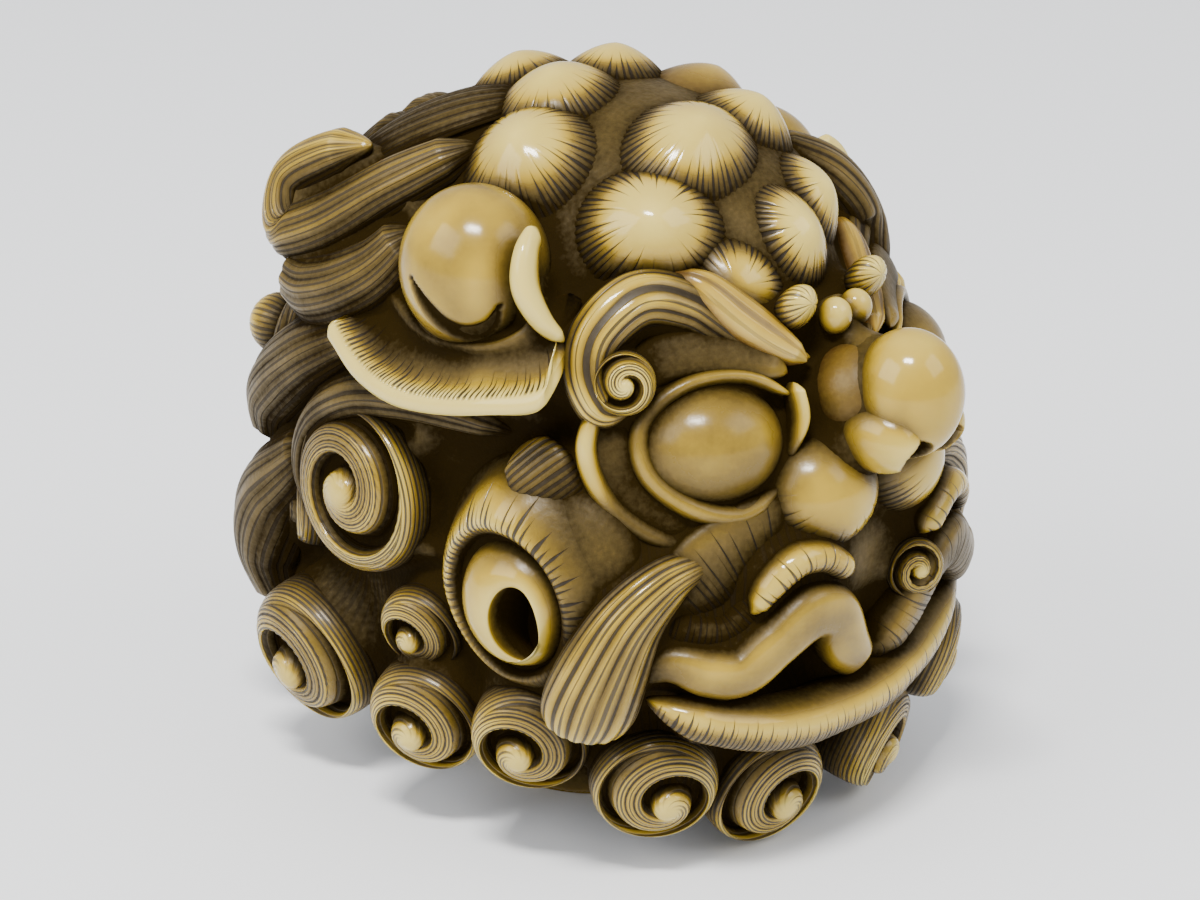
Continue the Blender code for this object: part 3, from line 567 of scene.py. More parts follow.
def add_brow(relief, side):
    """The brow: an S-shaped lock with a curl at its outer end and a flame-shaped lock over it."""
    lock = place_rows(side, (
        (2.9, -16.8, 28.8, 0.5, 0.8), (4.0, -15.4, 29.0, 0.9, 1.2), (5.6, -13.7, 29.9, 1.2, 1.4),
        (7.4, -12.0, 31.6, 1.5, 1.6), (9.7, -10.6, 32.2, 1.6, 1.8), (11.9, -9.8, 30.8, 1.5, 1.7),
        (12.8, -9.9, 28.9, 1.3, 1.5), (12.9, -11.0, 27.3, 1.1, 1.3), (12.3, -12.2, 27.2, 0.6, 1.0)), *SKEW)
    add_band(relief, lock, groove=0.13, lines=2.0, polish=0.85, steps=130, sides=48, ink=0.9, flat=0.4)
    add_curl(relief, place(side, 12.1, -11.7, 28.8, *SKEW), (side * 0.72, -0.72, 0.2), 1.7, side,
             turns=1.4, start=30, sides=60, rings=48, strands=4, polish=1.0, rise=0.8)
    flame = place_rows(side, (
        (7.6, -11.3, 33.5, 0.2, 0.4), (6.8, -12.6, 32.7, 1.0, 1.0), (5.7, -14.0, 31.2, 1.3, 1.2),
        (4.5, -15.4, 29.8, 1.1, 1.2), (3.3, -16.9, 28.7, 0.4, 0.7)), *SKEW)
    add_band(relief, flame, strands=2, groove=0.05, polish=1.15, steps=70, sides=36, ink=0.35, stain=0.35)
    add_ball(relief, place(side, 3.1, -15.9, 31.4), (1.25, 1.25, 1.2),
             axes=((0, 0, 1), (1, 0, 0), (0, -1, 0.4)),
             rings=24, sides=60, polish=0.85, ink=0.9, hairs=22, cap=0.1, edge=1.3)
    if side > 0:
        add_band(relief, place_rows(side, FAR_DOME),
                 strands=9, groove=0.12, lines=2.0, polish=0.6, steps=80, sides=60)


def add_eye(relief, side):
    """The bulging eyeball in its lid, with a broad hollow between the lid and the outer fold."""
    out = (side * 0.55, -0.83, 0.0)
    add_ball(relief, place(side, 8.2, -14.2, 24.9), (3.3, 4.0, 3.2), polish=0.72, rings=50, sides=70,
             axes=((0, 0, 1), np.cross((0, 0, 1), out), out))
    for table, tone, flat in (
        (((4.6, -16.6, 28.4, 0.6, 0.5), (6.6, -14.4, 29.4, 1.2, 0.7), (9.2, -12.4, 29.6, 1.4, 0.8),
          (11.4, -11.4, 28.6, 1.0, 0.7)), 0.6, 0.6),
        (((4.6, -16.9, 27.2, 0.35, 0.7), (6.6, -15.0, 28.3, 0.45, 0.9), (9.2, -13.4, 28.2, 0.5, 0.9),
          (11.3, -12.3, 26.5, 0.6, 0.9), (11.6, -12.9, 24.1, 0.7, 1.0), (10.3, -14.8, 22.2, 0.7, 1.0),
          (8.2, -16.4, 21.6, 0.6, 0.9), (5.8, -17.4, 22.8, 0.35, 0.7)), 0.85, 0.0),
        (((11.3, -10.9, 28.4, 0.8, 0.4), (12.6, -11.2, 25.6, 1.2, 0.5), (12.2, -12.2, 23.2, 1.2, 0.5),
          (10.7, -14.3, 21.5, 1.1, 0.5), (8.6, -15.9, 20.9, 0.8, 0.4)), 0.62, 0.8),
        (((12.6, -10.9, 28.4, 0.4, 0.7), (13.6, -10.5, 25.3, 0.6, 1.0), (12.9, -11.5, 22.3, 0.65, 1.0),
          (11.2, -13.7, 20.4, 0.6, 1.0), (8.8, -15.6, 19.9, 0.4, 0.7)), 0.8, 0.0),
        (((4.5, -16.9, 27.9, 0.3, 0.8), (4.5, -17.2, 25.9, 0.42, 1.0), (5.2, -16.9, 23.9, 0.3, 0.7)),
         0.85, 0.0),
    ):
        add_fold(relief, place_rows(side, table), polish=tone, steps=64, sides=20, flat=flat)


def add_nose(relief):
    """The round nose with its wings and nostrils, and the bridge behind it."""
    holes = [drilled((side * 1.55, -23.1, 24.0), (side * -0.05, 0.8, 0.55), 1.05, 1.6) for side in (-1, 1)]

    def nostrils(grid):
        shade = 1.0
        for hole in holes:
            grid, dark = hole(grid)
            shade = shade * dark
        return grid, shade
    add_ball(relief, (0.0, -21.1, 27.0), (2.9, 3.0, 3.5), rings=70, sides=100, change=nostrils)
    add_ball(relief, (0.0, -18.4, 26.4), (3.3, 3.5, 3.1), rings=36, sides=50, polish=0.75, stain=0.12)
    bridge = ((0.0, -15.0, 30.6, 1.5, 1.4), (0.0, -17.0, 28.9, 1.2, 1.3), (0.0, -19.0, 28.1, 1.9, 1.5))
    add_fold(relief, bridge, polish=0.65, steps=40, sides=30)
    for side in (-1, 1):
        add_ball(relief, place(side, 2.0, -20.7, 25.0), (1.6, 2.5, 1.9), rings=50, sides=70, change=nostrils)
        add_ball(relief, place(side, 0.9, -16.9, 30.6), (0.9, 0.9, 1.0), rings=20, sides=30, polish=0.85)


def add_muzzle(relief, side):
    """Whisker pad, the flesh below it with its hanging hairs, and the arched fold."""
    out = unit_vector((side * 0.35, -0.9, 0.35))
    add_ball(relief, place(side, 3.3, -17.7, 21.7), (3.4, 3.2, 3.0), rings=44, sides=150, polish=0.97,
             axes=(np.cross((0, 0, 1), out), np.cross(out, np.cross((0, 0, 1), out)), out),
             ink=0.95, hairs=50, cap=0.55, edge=1.05, hang=(side * 0.2, -0.2, -1.0))
    root = (1.0 + side) / 2.0
    flesh = place_rows(side, (
        (4.4, -18.0, 19.2, 1.2, 0.6), (6.4, -17.3, 20.2, 2.2, 0.8), (9.0, -16.2, 19.4, 2.5, 0.9),
        (11.2, -14.9, 17.6, 2.2, 0.8), (12.6, -13.8, 15.8, 1.3, 0.6)))
    add_band(relief, flesh, cross=(0.34, 1.0 - root, 0.62), polish=0.72, ink=1.0, sides=40, flat=0.4)
    fold = place_rows(side, (
        (9.2, -18.0, 16.6, 0.4, 0.7), (8.4, -18.5, 18.1, 0.8, 1.0), (7.0, -19.1, 19.2, 0.9, 1.1),
        (5.4, -19.5, 19.1, 0.9, 1.1), (3.9, -19.8, 18.1, 0.8, 1.0), (3.4, -19.8, 17.5, 0.4, 0.7)))
    add_band(relief, fold, cross=(0.34, root, 0.7), polish=0.85, ink=0.95, sides=28)


def add_lips(relief):
    """The wavy upper lip in its two halves and the lower lip from corner to corner."""
    upper = (
        (14.4, -11.8, 13.0, 0.9, 0.9), (12.4, -14.9, 14.2, 1.1, 1.1), (11.0, -16.6, 13.7, 1.4, 1.4),
        (9.6, -17.6, 13.6, 1.5, 1.4), (8.0, -18.5, 14.9, 1.5, 1.4), (6.1, -19.2, 16.1, 1.7, 1.4),
        (4.2, -19.4, 15.5, 1.5, 1.4), (2.6, -19.0, 13.1, 1.5, 1.4), (1.0, -18.6, 11.6, 1.2, 1.4),
        (0.0, -18.5, 11.4, 1.1, 1.4))
    looks = {-1: {"ink": 0.0, "polish": 0.75}, 1: {"ink": 0.9, "polish": 0.6, "cross": (0.30, 1.0, 0.75)}}
    for side in (-1, 1):
        add_band(relief, place_rows(side, upper), strands=1, groove=0.0, steps=130, sides=36, flat=0.5,
                 **looks[side])
        fringe = place_rows(side, [(x, y + 0.9, z + 1.7, 1.1, 0.9) for x, y, z, _, _ in upper[1:7]])
        add_band(relief, fringe, cross=(0.27, (1.0 + side) / 2.0, 1.0), ink=1.0, polish=0.5,
                 steps=90, sides=26)
    add_curl(relief, (2.9, -19.9, 15.7), (-0.45, -0.85, 0.1), 1.7, 1, turns=1.8, rings=44, sides=56,
             strands=4, rise=0.5)
    right = ((13.2, -14.2, 12.0, 0.7, 0.9), (12.0, -16.0, 11.2, 1.1, 1.3), (9.0, -17.8, 10.1, 1.3, 1.5),
             (6.0, -18.6, 9.5, 1.3, 1.6), (3.0, -19.0, 9.4, 1.3, 1.6))
    rows = [(-x, y, z, w, h) for x, y, z, w, h in right] + [(0.0, -19.1, 9.4, 1.3, 1.6)]
    rows += [(x, y + 0.1 * x, z + 0.1 * x, w, h) for x, y, z, w, h in right[::-1]]
    add_band(relief, rows, cross=(0.27, 0.36, 0.32), polish=0.9, ink=1.0, steps=260, sides=40,
             flat=0.3, shade=0.7)


def add_ear(relief, side):
    """The folded ear: a smooth bulb with a slit under it, a flared flap, and the small front fold."""
    course = [place(side, *point, *SKEW) for point in (
        (16.8, -1.3, 33.4), (16.75, -2.3, 32.1), (16.3, -3.2, 31.1), (15.6, -4.2, 30.8), (15.1, -5.3, 31.3),
        (15.0, -5.9, 32.4))]
    near = side < 0
    add_ball(relief, place(side, 13.0, -2.4, 33.3, *SKEW), (3.9, 4.1, 4.4), rings=100 if near else 44,
             sides=150 if near else 64, change=slit(course, 0.75, 0.3))
    add_ball(relief, place(side, 10.9, -1.6, 30.6, *SKEW), (3.4, 4.4, 3.6), rings=30, sides=40, polish=0.6)
    rim = smooth_path(((15.0, 6.2, 28.3), (16.0, 3.4, 27.1), (16.8, 0.2, 26.7), (17.1, -3.0, 27.0),
                       (17.0, -6.4, 27.7), (16.0, -9.6, 28.5), (14.9, -9.5, 30.2)), 120)
    root = smooth_path(((13.4, 3.4, 31.0), (14.0, 2.2, 30.6), (14.9, 0.0, 30.0), (15.4, -2.4, 29.9),
                        (15.2, -5.0, 30.2), (14.6, -6.8, 31.2), (13.6, -7.2, 32.4)), 120)
    outward = np.array((1.0, 0.0, -0.25))
    rings = []
    for lip, base in zip(rim, root):
        gap = lip - base
        section = (base - (2.6, 0.0, 0.0), base, base + gap * 0.35 - outward * 0.75,
                   base + gap * 0.72 - outward * 0.55, lip + (0.0, 0.0, 0.55) + outward * 0.1,
                   lip + outward * 0.45, lip - (0.0, 0.0, 0.45) + outward * 0.1,
                   base + gap * 0.85 - outward * 1.5, base + gap * 0.4 - outward * 3.0)
        curve = smooth_path(section, 46)
        rings.append(np.array([place(side, *point, *SKEW) for point in curve]))
    grid = np.stack(rings)
    lane = np.linspace(0.0, 1.0, grid.shape[1])[None, :]
    along = np.linspace(0.0, 60.0, grid.shape[0])[:, None]
    number = along + 0.5 * np.sin(along * 0.4) + 1.5 * lane
    progress = (0.50 - lane) / 0.13
    inside = fade(0.51, 0.49, lane) * fade(0.22, 0.36, lane)
    depth = groove_depth(number, np.abs(progress)) * inside
    tone = 0.45 + 0.5 * fade(0.38, 0.50, lane) * fade(0.80, 0.70, lane)
    relief.add(raise_by(grid, -0.06 * depth), stroke_grid(number, progress, wrap=True), tone, inside)
    fold = place_rows(side, (
        (12.9, -6.6, 36.2, 0.4, 0.9), (14.2, -7.0, 35.2, 0.65, 1.1), (14.7, -7.4, 33.6, 0.75, 1.2),
        (14.4, -8.2, 32.0, 0.6, 1.0), (13.6, -9.0, 30.8, 0.3, 0.7)), *SKEW)
    add_fold(relief, fold, polish=1.15, steps=60, sides=30)


# The swollen flesh under the cheek's boss: centre and half sizes
FLESH = ((13.0, -7.5, 17.2), (3.4, 6.6, 7.2))
BOSS_HALF = (3.0, 3.4, 3.7)    # half sizes of the cheek's boss: outwards, in depth and in height
HOLE_HALF = (1.35, 2.3)        # half sizes of the cord hole's mouth: in depth and in height


def add_socket(relief, side):
    """The raised rim round the cheek's boss, pointed at its top, with hairs from its inner edge."""
    sides = 220
    around = np.linspace(0.0, 2.0 * math.pi, sides + 1)    # 0 is up, a quarter turn is the front
    turn = around[:-1]
    share = np.concatenate(((-0.16, -0.08), np.linspace(0.0, 1.0, 24)))[:, None]
    top = np.exp(-(np.minimum(turn, 2.0 * math.pi - turn) / 0.5) ** 2)
    front = np.clip(np.sin(turn), 0.0, 1.0)
    low = np.clip(-np.cos(turn), 0.0, 1.0)
    width = 1.7 + 2.8 * top + 0.9 * front - 0.5 * low + 0.8 * np.clip(-np.sin(turn), 0.0, 1.0)
    y = -7.1 - np.sin(turn) * (3.75 + width * share)
    z = 16.3 + np.cos(turn) * (4.1 + width * share)
    (x0, y0, z0), (x1, y1, z1) = FLESH
    flesh = x0 + x1 * np.sqrt(np.clip(1.0 - ((y - y0) / y1) ** 2 - ((z - z0) / z1) ** 2, 0.0, 1.0))
    outer, inner = (share - 0.22) / 0.78, (0.22 - share) / 0.26
    crest = np.where(share > 0.22, (1.0 - outer ** 2) ** 2, 1.0 - inner ** 2)
    height = 0.95 + 0.45 * top - 0.5 * front - 0.3 * low
    x = flesh + height * crest - 0.12 * np.clip(share, 0.0, 1.0)
    rim = np.stack((side * x, y, z), axis=-1)
    under = rim[-1] * (0.0, 1.0, 1.0) + (side * 11.4, 0.0, 0.0)
    tube = rim[0] * (0.0, 1.0, 1.0) + (side * 12.4, 0.0, 0.0)
    grid = np.concatenate((tube[None], rim, under[None]))
    off = np.concatenate(((-0.3,), share[:, 0], (1.1,)))[:, None]    # from the inner edge outwards
    number = around * 11.0 + 0.3 * np.sin(5.0 * around) + 0.5 * np.sin(around) * off
    strokes = stroke_grid(number, off / 0.55)
    depth = groove_depth(strokes[:, :-1, 0], strokes[:, :-1, 1]) * fade(0.0, 0.1, off)
    tone = (0.85 - 0.3 * front - 0.25 * low) * fade(-0.1, 0.16, off)
    tone = tone + (0.5 - tone) * fade(0.45, 1.0, off)
    ink = fade(0.0, 0.08, off) * (1.0 - 0.8 * low)
    relief.add(raise_by(grid, -0.06 * depth * ink), strokes, tone, ink)


def add_cheek(relief, side):
    """The boss with the cord hole in its socket, the jaw's tuft and the hatched temple."""
    centre = place(side, 14.8, -7.1, 16.3)
    hole = place(side, 0.0, -8.3, 15.7)
    out, deep, high = BOSS_HALF
    turn = turning(84)
    ring = (np.ones(len(turn)), np.cos(turn), np.sin(turn))
    keep = []
    for share in np.linspace(0.0, 1.0, 36)[:-9]:
        polar = math.pi * (0.92 - 0.92 * share) + 0.22
        half = (side * out * math.cos(polar), deep * math.sin(polar), high * math.sin(polar))
        keep.append(np.stack([size * part for size, part in zip(half, ring)], axis=1) + centre)
    outline = keep[-1].copy()
    mouth = hole + np.stack((0.0 * turn, HOLE_HALF[0] * ring[1], HOLE_HALF[1] * ring[2]), axis=1)
    for share in np.linspace(0.0, 1.0, 12)[1:]:
        spot = outline * (1.0 - share) + mouth * share
        y, z = spot[:, 1] - centre[1], spot[:, 2] - centre[2]
        reach = np.clip(1.0 - (y / deep) ** 2 - (z / high) ** 2, 0.0, 1.0)
        spot[:, 0] = centre[0] + side * out * np.sqrt(reach) - side * 0.25 * share ** 4
        keep.append(spot)
    rim_x = keep[-1][:, 0]
    tones = [0.85] * (len(keep) - 1) + [0.9]
    # Painted shade: the cord hole's walls are darkened more the deeper they go, to black inside.
    for depth, tone in ((0.12, 0.5), (0.3, 0.3), (0.8, 0.1), (2.0, 0.0), (4.0, 0.0), (6.0, 0.0), (7.5, 0.0)):
        wall = mouth.copy()
        wall[:, 0] = rim_x - side * depth
        shrink = 1.0 - 0.04 * min(depth, 1.0)
        wall[:, 1:] = hole[1:] + (wall[:, 1:] - hole[1:]) * shrink
        keep.append(wall)
        tones.append(tone)
    grid = np.stack(keep)
    relief.add(grid, still_strokes(*grid.shape[:2]), np.array(tones)[:, None])
    add_ball(relief, place(side, *FLESH[0]), (FLESH[1][2], FLESH[1][1], FLESH[1][0]), rings=36, sides=64,
             polish=0.5, axes=((0, 0, 1), (0, 1, 0), (side, 0, 0)),
             change=drilled((side * 17.4, -7.2, 16.3), (-side, 0.0, 0.0), 4.2, 4.5))
    add_socket(relief, side)
    tuft = place_rows(side, (
        (9.2, -15.7, 18.9, 0.25, 0.4), (10.6, -15.3, 19.1, 0.9, 0.9), (12.4, -14.7, 18.5, 1.5, 1.2),
        (14.2, -13.9, 16.8, 2.0, 1.5), (15.2, -12.9, 13.8, 2.5, 1.7), (15.3, -11.9, 11.2, 2.5, 1.6),
        (14.9, -11.0, 9.4, 1.3, 1.0)))
    add_band(relief, tuft, strands=10, groove=0.12, lines=2.0, polish=0.85, ink=0.9, steps=100, sides=60)
    temple = place_rows(side, (
        (14.5, -6.8, 24.8, 1.3, 0.5), (14.7, -8.4, 23.6, 1.9, 0.7), (14.3, -9.7, 22.0, 1.5, 0.6),
        (13.4, -10.8, 20.6, 0.8, 0.4)))
    add_band(relief, temple, cross=(0.36, 0.5, 0.9), polish=0.85, ink=0.85, steps=70, sides=34, flat=0.7)


def add_mane_curls(relief, side):
    """The snail curls in rows round the jaw, nape and temples."""
    for bearing, reach, height, radius, hand, facing in CURLS + (LEFT_BEARD if side > 0 else RIGHT_BEARD):
        way = math.radians(bearing)
        turned = math.radians(facing)
        axis = (side * math.sin(turned), -math.cos(turned), -0.3 if height < 13 else 0.1)
        centre = place(side, reach * math.sin(way), -reach * math.cos(way), height, FAR_DROP)
        seen = bearing < 130 if side < 0 else bearing < 60
        add_curl(relief, centre, axis, radius, side, hand=-hand, start=90 - hand * 60,
                 shift=(-0.16 * hand, -0.2), rings=84 if seen else 48, sides=72 if seen else 48)


def add_temple_spiral(relief, side):
    """The large spiral behind the cheek and the long lock that sweeps over and round it."""
    near = side < 0
    add_curl(relief, place(side, 14.6, 4.4, 19.6), (side * 0.97, 0.1, 0.05), 4.8, side, hand=-1,
             turns=1.75, start=60, polish=0.85, rings=96 if near else 60, sides=110 if near else 64, strands=8,
             rise=0.4, depth=0.3)
    lock = place_rows(side, (
        (12.8, -5.4, 24.6, 0.6, 0.8), (13.8, -2.4, 25.4, 1.2, 1.1), (14.3, 1.2, 25.4, 1.3, 1.2),
        (14.4, 5.0, 24.6, 1.3, 1.2), (14.0, 8.4, 22.2, 1.3, 1.1), (13.6, 9.6, 18.8, 1.2, 1.1),
        (13.4, 8.2, 15.4, 0.6, 0.8)))
    add_band(relief, lock, groove=0.12, lines=2.0, polish=0.5, steps=100, sides=36)


# Locks of the back of the head: bearing, lowest height, half width, bend
BACK_LOCKS = ((176, 25.0, 3.0, 6), (150, 26.0, 3.2, 8), (124, 29.0, 2.8, 6))
# Locks of the temple and nape: x, y, z, half width and half height along each, and its strands
SIDE_LOCKS = (
    (((4.0, 1.6, 39.6, 1.4, 0.7), (5.6, 4.6, 38.7, 2.8, 1.0), (7.0, 7.8, 36.9, 3.2, 1.2),
      (7.8, 10.8, 34.4, 2.6, 1.2), (7.6, 13.4, 31.4, 1.4, 1.0)), 12, 0.52),
    (((8.0, 1.6, 37.9, 1.2, 1.2), (10.2, 5.0, 35.6, 1.9, 1.8), (11.3, 9.2, 32.8, 2.1, 2.0),
      (11.4, 12.2, 32.0, 1.9, 1.9), (10.8, 12.6, 34.4, 1.6, 1.7), (10.3, 10.2, 36.2, 1.5, 1.5),
      (10.2, 7.6, 37.3, 1.0, 1.0)), 8, 0.62),
    (((11.8, 2.6, 33.8, 1.6, 1.6), (12.5, 4.8, 31.2, 2.2, 2.1), (12.2, 8.6, 29.4, 2.4, 2.3),
      (11.2, 12.2, 29.6, 2.0, 2.0)), 9, 0.52),
    (((12.6, 5.6, 28.0, 1.8, 1.6), (12.0, 9.8, 25.4, 2.5, 2.4), (10.8, 13.8, 21.8, 2.5, 2.6),
      (10.2, 15.0, 18.2, 1.4, 1.8)), 9, 0.5),
    (((12.4, 9.6, 20.2, 1.5, 1.8), (11.0, 13.6, 16.2, 2.6, 3.0), (10.2, 15.4, 12.0, 2.8, 3.0),
      (10.0, 14.6, 7.8, 1.6, 2.0)), 8, 0.5),
)


def add_back_hair(relief, side):
    """Locks that sweep from the crown and temples to the back of the head."""
    near = side < 0
    for table, strands, tone in SIDE_LOCKS:
        add_band(relief, place_rows(side, table, FAR_DROP), strands=strands, groove=0.14, polish=tone,
                 steps=110 if near else 80, sides=50 if near else 38)
    add_ball(relief, place(side, 8.8, 16.6, 24.6), (1.8, 1.8, 1.8), rings=30, sides=60, polish=0.8,
             axes=((1, 0, 0), (0, 0, 1), (0, 1, 0)), ink=0.8, hairs=30, cap=0.4, edge=1.2)
    for bearing, lowest, half_width, bend in BACK_LOCKS:
        rows = []
        for share in np.linspace(0.0, 1.0, 6):
            way = math.radians(bearing + bend * math.sin(share * math.pi))
            level = 38.0 + (lowest - 38.0) * share
            spot = skin(np.array(((0.0, 2.0, level - 5.0),)), (side * math.sin(way), -math.cos(way), 0.4))[0]
            taper = 0.35 + 0.65 * math.sin(math.pi * (0.1 + 0.8 * share))
            rows.append((*spot, half_width * taper, 1.3))
        add_band(relief, rows, strands=8, groove=0.12, polish=0.5, steps=70, sides=40)


def carve():
    """Every form of the head, grouped into the pieces of the scene."""
    pieces = {}

    def piece(name):
        return pieces.setdefault(name, Relief(name))

    for boss in BOSSES:
        add_boss(piece("crown_bosses"), *boss)
    add_boss(piece("crown_bosses"), *BARE_BOSS, bare=True)
    add_nose(piece("nose_and_muzzle"))
    add_lips(piece("lips"))
    for side, word in ((-1, "right"), (1, "left")):
        add_brow(piece("brows"), side)
        add_eye(piece("eyes"), side)
        add_muzzle(piece("nose_and_muzzle"), side)
        add_ear(piece("ears"), side)
        add_cheek(piece("cheeks"), side)
        add_mane_curls(piece("curls_" + word), side)
        add_temple_spiral(piece("temple_spirals"), side)
        add_back_hair(piece("locks_" + word), side)
    core = Relief("head_core")
    add_neck(core)
    skin_grid = add_core(core, {**pieces, "head_core": core})
    pieces["head_core"] = core
    return pieces, skin_grid


# Recesses found on this grid darken the carving: the patina in them together with painted shade.
CELL = 0.30                    # step of the grid that finds the recesses
CREASE_REACH = 0.5             # how softly that grid is blurred for the narrow recesses
HOLLOW_REACH = 1.6             # and for the broad ones


def solid_cells(pieces, bare_skin):
    """Cells that are 1 inside the carving and 0 outside, from rays cast up through every form.

    Returns the cells, their lowest corner, and a tree of all the forms but the skin itself.
    """
    skull = Relief("skull")
    skull.add(bare_skin, still_strokes(*bare_skin.shape[:2]), 0.0)
    points, faces = np.zeros((0, 3)), []
    for relief in (*pieces.values(), skull):
        forms = BVHTree.FromPolygons(points.tolist(), faces) if relief is skull else None
        own, quads, tris = relief.joined()
        faces += (quads + len(points)).tolist() + (tris + len(points)).tolist()
        points = np.concatenate((points, own))
    tree = BVHTree.FromPolygons(points.tolist(), faces)
    low = points.min(axis=0) - 4.0
    size = np.ceil((points.max(axis=0) + 4.0 - low) / CELL).astype(int)
    cells = np.zeros(size, np.float32)
    up = Vector((0.0, 0.0, 1.0))
    for i in range(size[0]):
        for j in range(size[1]):
            x, y = low[0] + (i + 0.37) * CELL, low[1] + (j + 0.41) * CELL
            spot, inside, entered = Vector((x, y, low[2])), 0, 0.0
            while True:
                hit, normal, _, _ = tree.ray_cast(spot, up)
                if hit is None:
                    break
                if normal.z < 0.0:
                    if inside == 0:
                        entered = hit.z
                    inside += 1
                else:
                    inside -= 1
                    if inside == 0:
                        first = int((entered - low[2]) / CELL + 0.5)
                        cells[i, j, first:int((hit.z - low[2]) / CELL + 0.5)] = 1.0
                spot = Vector((x, y, hit.z + 0.003))
    return cells, low, forms


def blurred(cells, reach):
    """The cells averaged over a soft ball of the given reach."""
    half = int(math.ceil(2.5 * reach / CELL))
    weights = np.exp(-0.5 * (np.arange(-half, half + 1) * CELL / reach) ** 2)
    weights = (weights / weights.sum()).astype(np.float32)
    for axis in range(3):
        total = np.zeros_like(cells)
        for shift, weight in zip(range(-half, half + 1), weights):
            total += weight * np.roll(cells, shift, axis=axis)
        cells = total
    return cells


def sampled(cells, low, points):
    """Values of the grid at points, blended between cells."""
    spot = (points - low) / CELL - 0.5
    base = np.floor(spot).astype(int)
    part = spot - base
    total = np.zeros(len(points))
    for corner in np.ndindex(2, 2, 2):
        weight = np.prod(np.where(np.array(corner), part, 1.0 - part), axis=1)
        at = np.clip(base + np.array(corner), 0, np.array(cells.shape) - 1)
        total += weight * cells[at[:, 0], at[:, 1], at[:, 2]]
    return total


def build_object(relief, recess_patina_and_shade, material):
    """Makes one piece's mesh with its engraving coordinates, its patina and its painted shade."""
    points, quads, tris = relief.joined()
    mesh = bpy.data.meshes.new(relief.name)
    mesh.from_pydata((points * UNIT).tolist(), [], quads.tolist() + tris.tolist())
    strokes = np.concatenate((np.concatenate(relief.quad_strokes).reshape(-1, 2),
                              np.concatenate(relief.tri_strokes).reshape(-1, 2)))
    layer = mesh.uv_layers.new(name="engraving")
    layer.data.foreach_set("uv", strokes.astype(np.float32).ravel())
    marks = np.concatenate(relief.marks)
    for name, values in (("polish", marks[:, 0]), ("ink", marks[:, 1]), ("stain", marks[:, 2]), *recess_patina_and_shade):
        held = mesh.attributes.new(name, "FLOAT", "POINT")
        held.data.foreach_set("value", np.asarray(values, np.float32))
    mesh.materials.append(material)
    mesh.shade_smooth()
    made = bpy.data.objects.new(relief.name, mesh)
    bpy.context.scene.collection.objects.link(made)
    return made


class Nodes:
    """Short ways to add and join shader nodes."""

    def __init__(self, tree):
        self.tree = tree

    def add(self, kind, **settings):
        node = self.tree.nodes.new(kind)
        for name, value in settings.items():
            setattr(node, name, value)
        return node

    def join(self, value, socket):
        if isinstance(value, (int, float)):
            socket.default_value = value
        else:
            self.tree.links.new(value, socket)

    def math(self, operation, *values, clamp=False):
        node = self.add("ShaderNodeMath", operation=operation, use_clamp=clamp)
        for value, socket in zip(values, node.inputs):
            self.join(value, socket)
        return node.outputs[0]

    def attribute(self, name):
        return self.add("ShaderNodeAttribute", attribute_name=name).outputs["Fac"]

    def noise(self, position, scale, detail=3.0, roughness=0.55):
        node = self.add("ShaderNodeTexNoise")
        self.join(position, node.inputs["Vector"])
        node.inputs["Scale"].default_value = scale
        node.inputs["Detail"].default_value = detail
        node.inputs["Roughness"].default_value = roughness
        return node.outputs["Fac"]

    def ramp(self, value, stops):
        node = self.add("ShaderNodeValToRGB")
        self.join(value, node.inputs["Fac"])
        marks = node.color_ramp.elements
        while len(marks) < len(stops):
            marks.new(0.5)
        for mark, (position, colour) in zip(marks, stops):
            mark.position = position
            mark.color = (*colour, 1.0)
        return node.outputs["Color"]

    def blend(self, share, first, second):
        node = self.add("ShaderNodeMix", data_type="RGBA")
        self.join(share, node.inputs["Factor"])
        for colour, socket in ((first, node.inputs["A"]), (second, node.inputs["B"])):
            if isinstance(colour, tuple):
                socket.default_value = (*colour, 1.0)
            else:
                self.tree.links.new(colour, socket)
        return node.outputs["Result"]


# Tones of the patina and of the painted shade, from the ink in the deepest cuts and the darkest painted shade
# to the rubbed high spots
PATINA_AND_SHADE = (
    (0.00, (0.014, 0.008, 0.0010)), (0.20, (0.028, 0.017, 0.0018)), (0.40, (0.052, 0.032, 0.0030)),
    (0.60, (0.090, 0.055, 0.0048)), (0.80, (0.18, 0.112, 0.009)), (1.00, (0.38, 0.248, 0.018)),
    (1.50, (0.63, 0.49, 0.12)),
)
PALEST = 1.5                   # the tone at the end of the patina's range
INK = (0.012, 0.008, 0.004)
ORANGE = (0.32, 0.14, 0.025)
EVEN_CREASE = 0.44             # where the recess measures leave the tone as it is; deeper creases and hollows get patina with painted shade
EVEN_HOLLOW = 0.37


def engraving_mask(nodes):
    """1 in the engraved strokes and 0 beside them, from the stroke number and progress."""
    uv = nodes.add("ShaderNodeUVMap", uv_map="engraving").outputs["UV"]
    split = nodes.add("ShaderNodeSeparateXYZ")
    nodes.join(uv, split.inputs[0])
    stroke, progress = split.outputs[0], split.outputs[1]
    number = nodes.math("FLOOR", stroke)
    uneven = nodes.math("FRACT", nodes.math("MULTIPLY", number, GOLDEN))
    length = nodes.math("MULTIPLY_ADD", uneven, STROKE_LENGTH[1], STROKE_LENGTH[0])
    uneven = nodes.math("FRACT", nodes.math("MULTIPLY_ADD", number, SECOND, 0.3))
    width = nodes.math("MULTIPLY_ADD", uneven, STROKE_WIDTH[1], STROKE_WIDTH[0])
    taper = nodes.math("DIVIDE", nodes.math("SUBTRACT", length, progress), STROKE_TAPER, clamp=True)
    half = nodes.math("MULTIPLY", width, taper)
    off = nodes.math("ABSOLUTE", nodes.math("SUBTRACT", nodes.math("SUBTRACT", stroke, number), 0.5))
    mask = nodes.math("DIVIDE", nodes.math("SUBTRACT", half, off), 0.09, clamp=True)
    return nodes.math("MULTIPLY", mask, nodes.attribute("ink"), clamp=True)


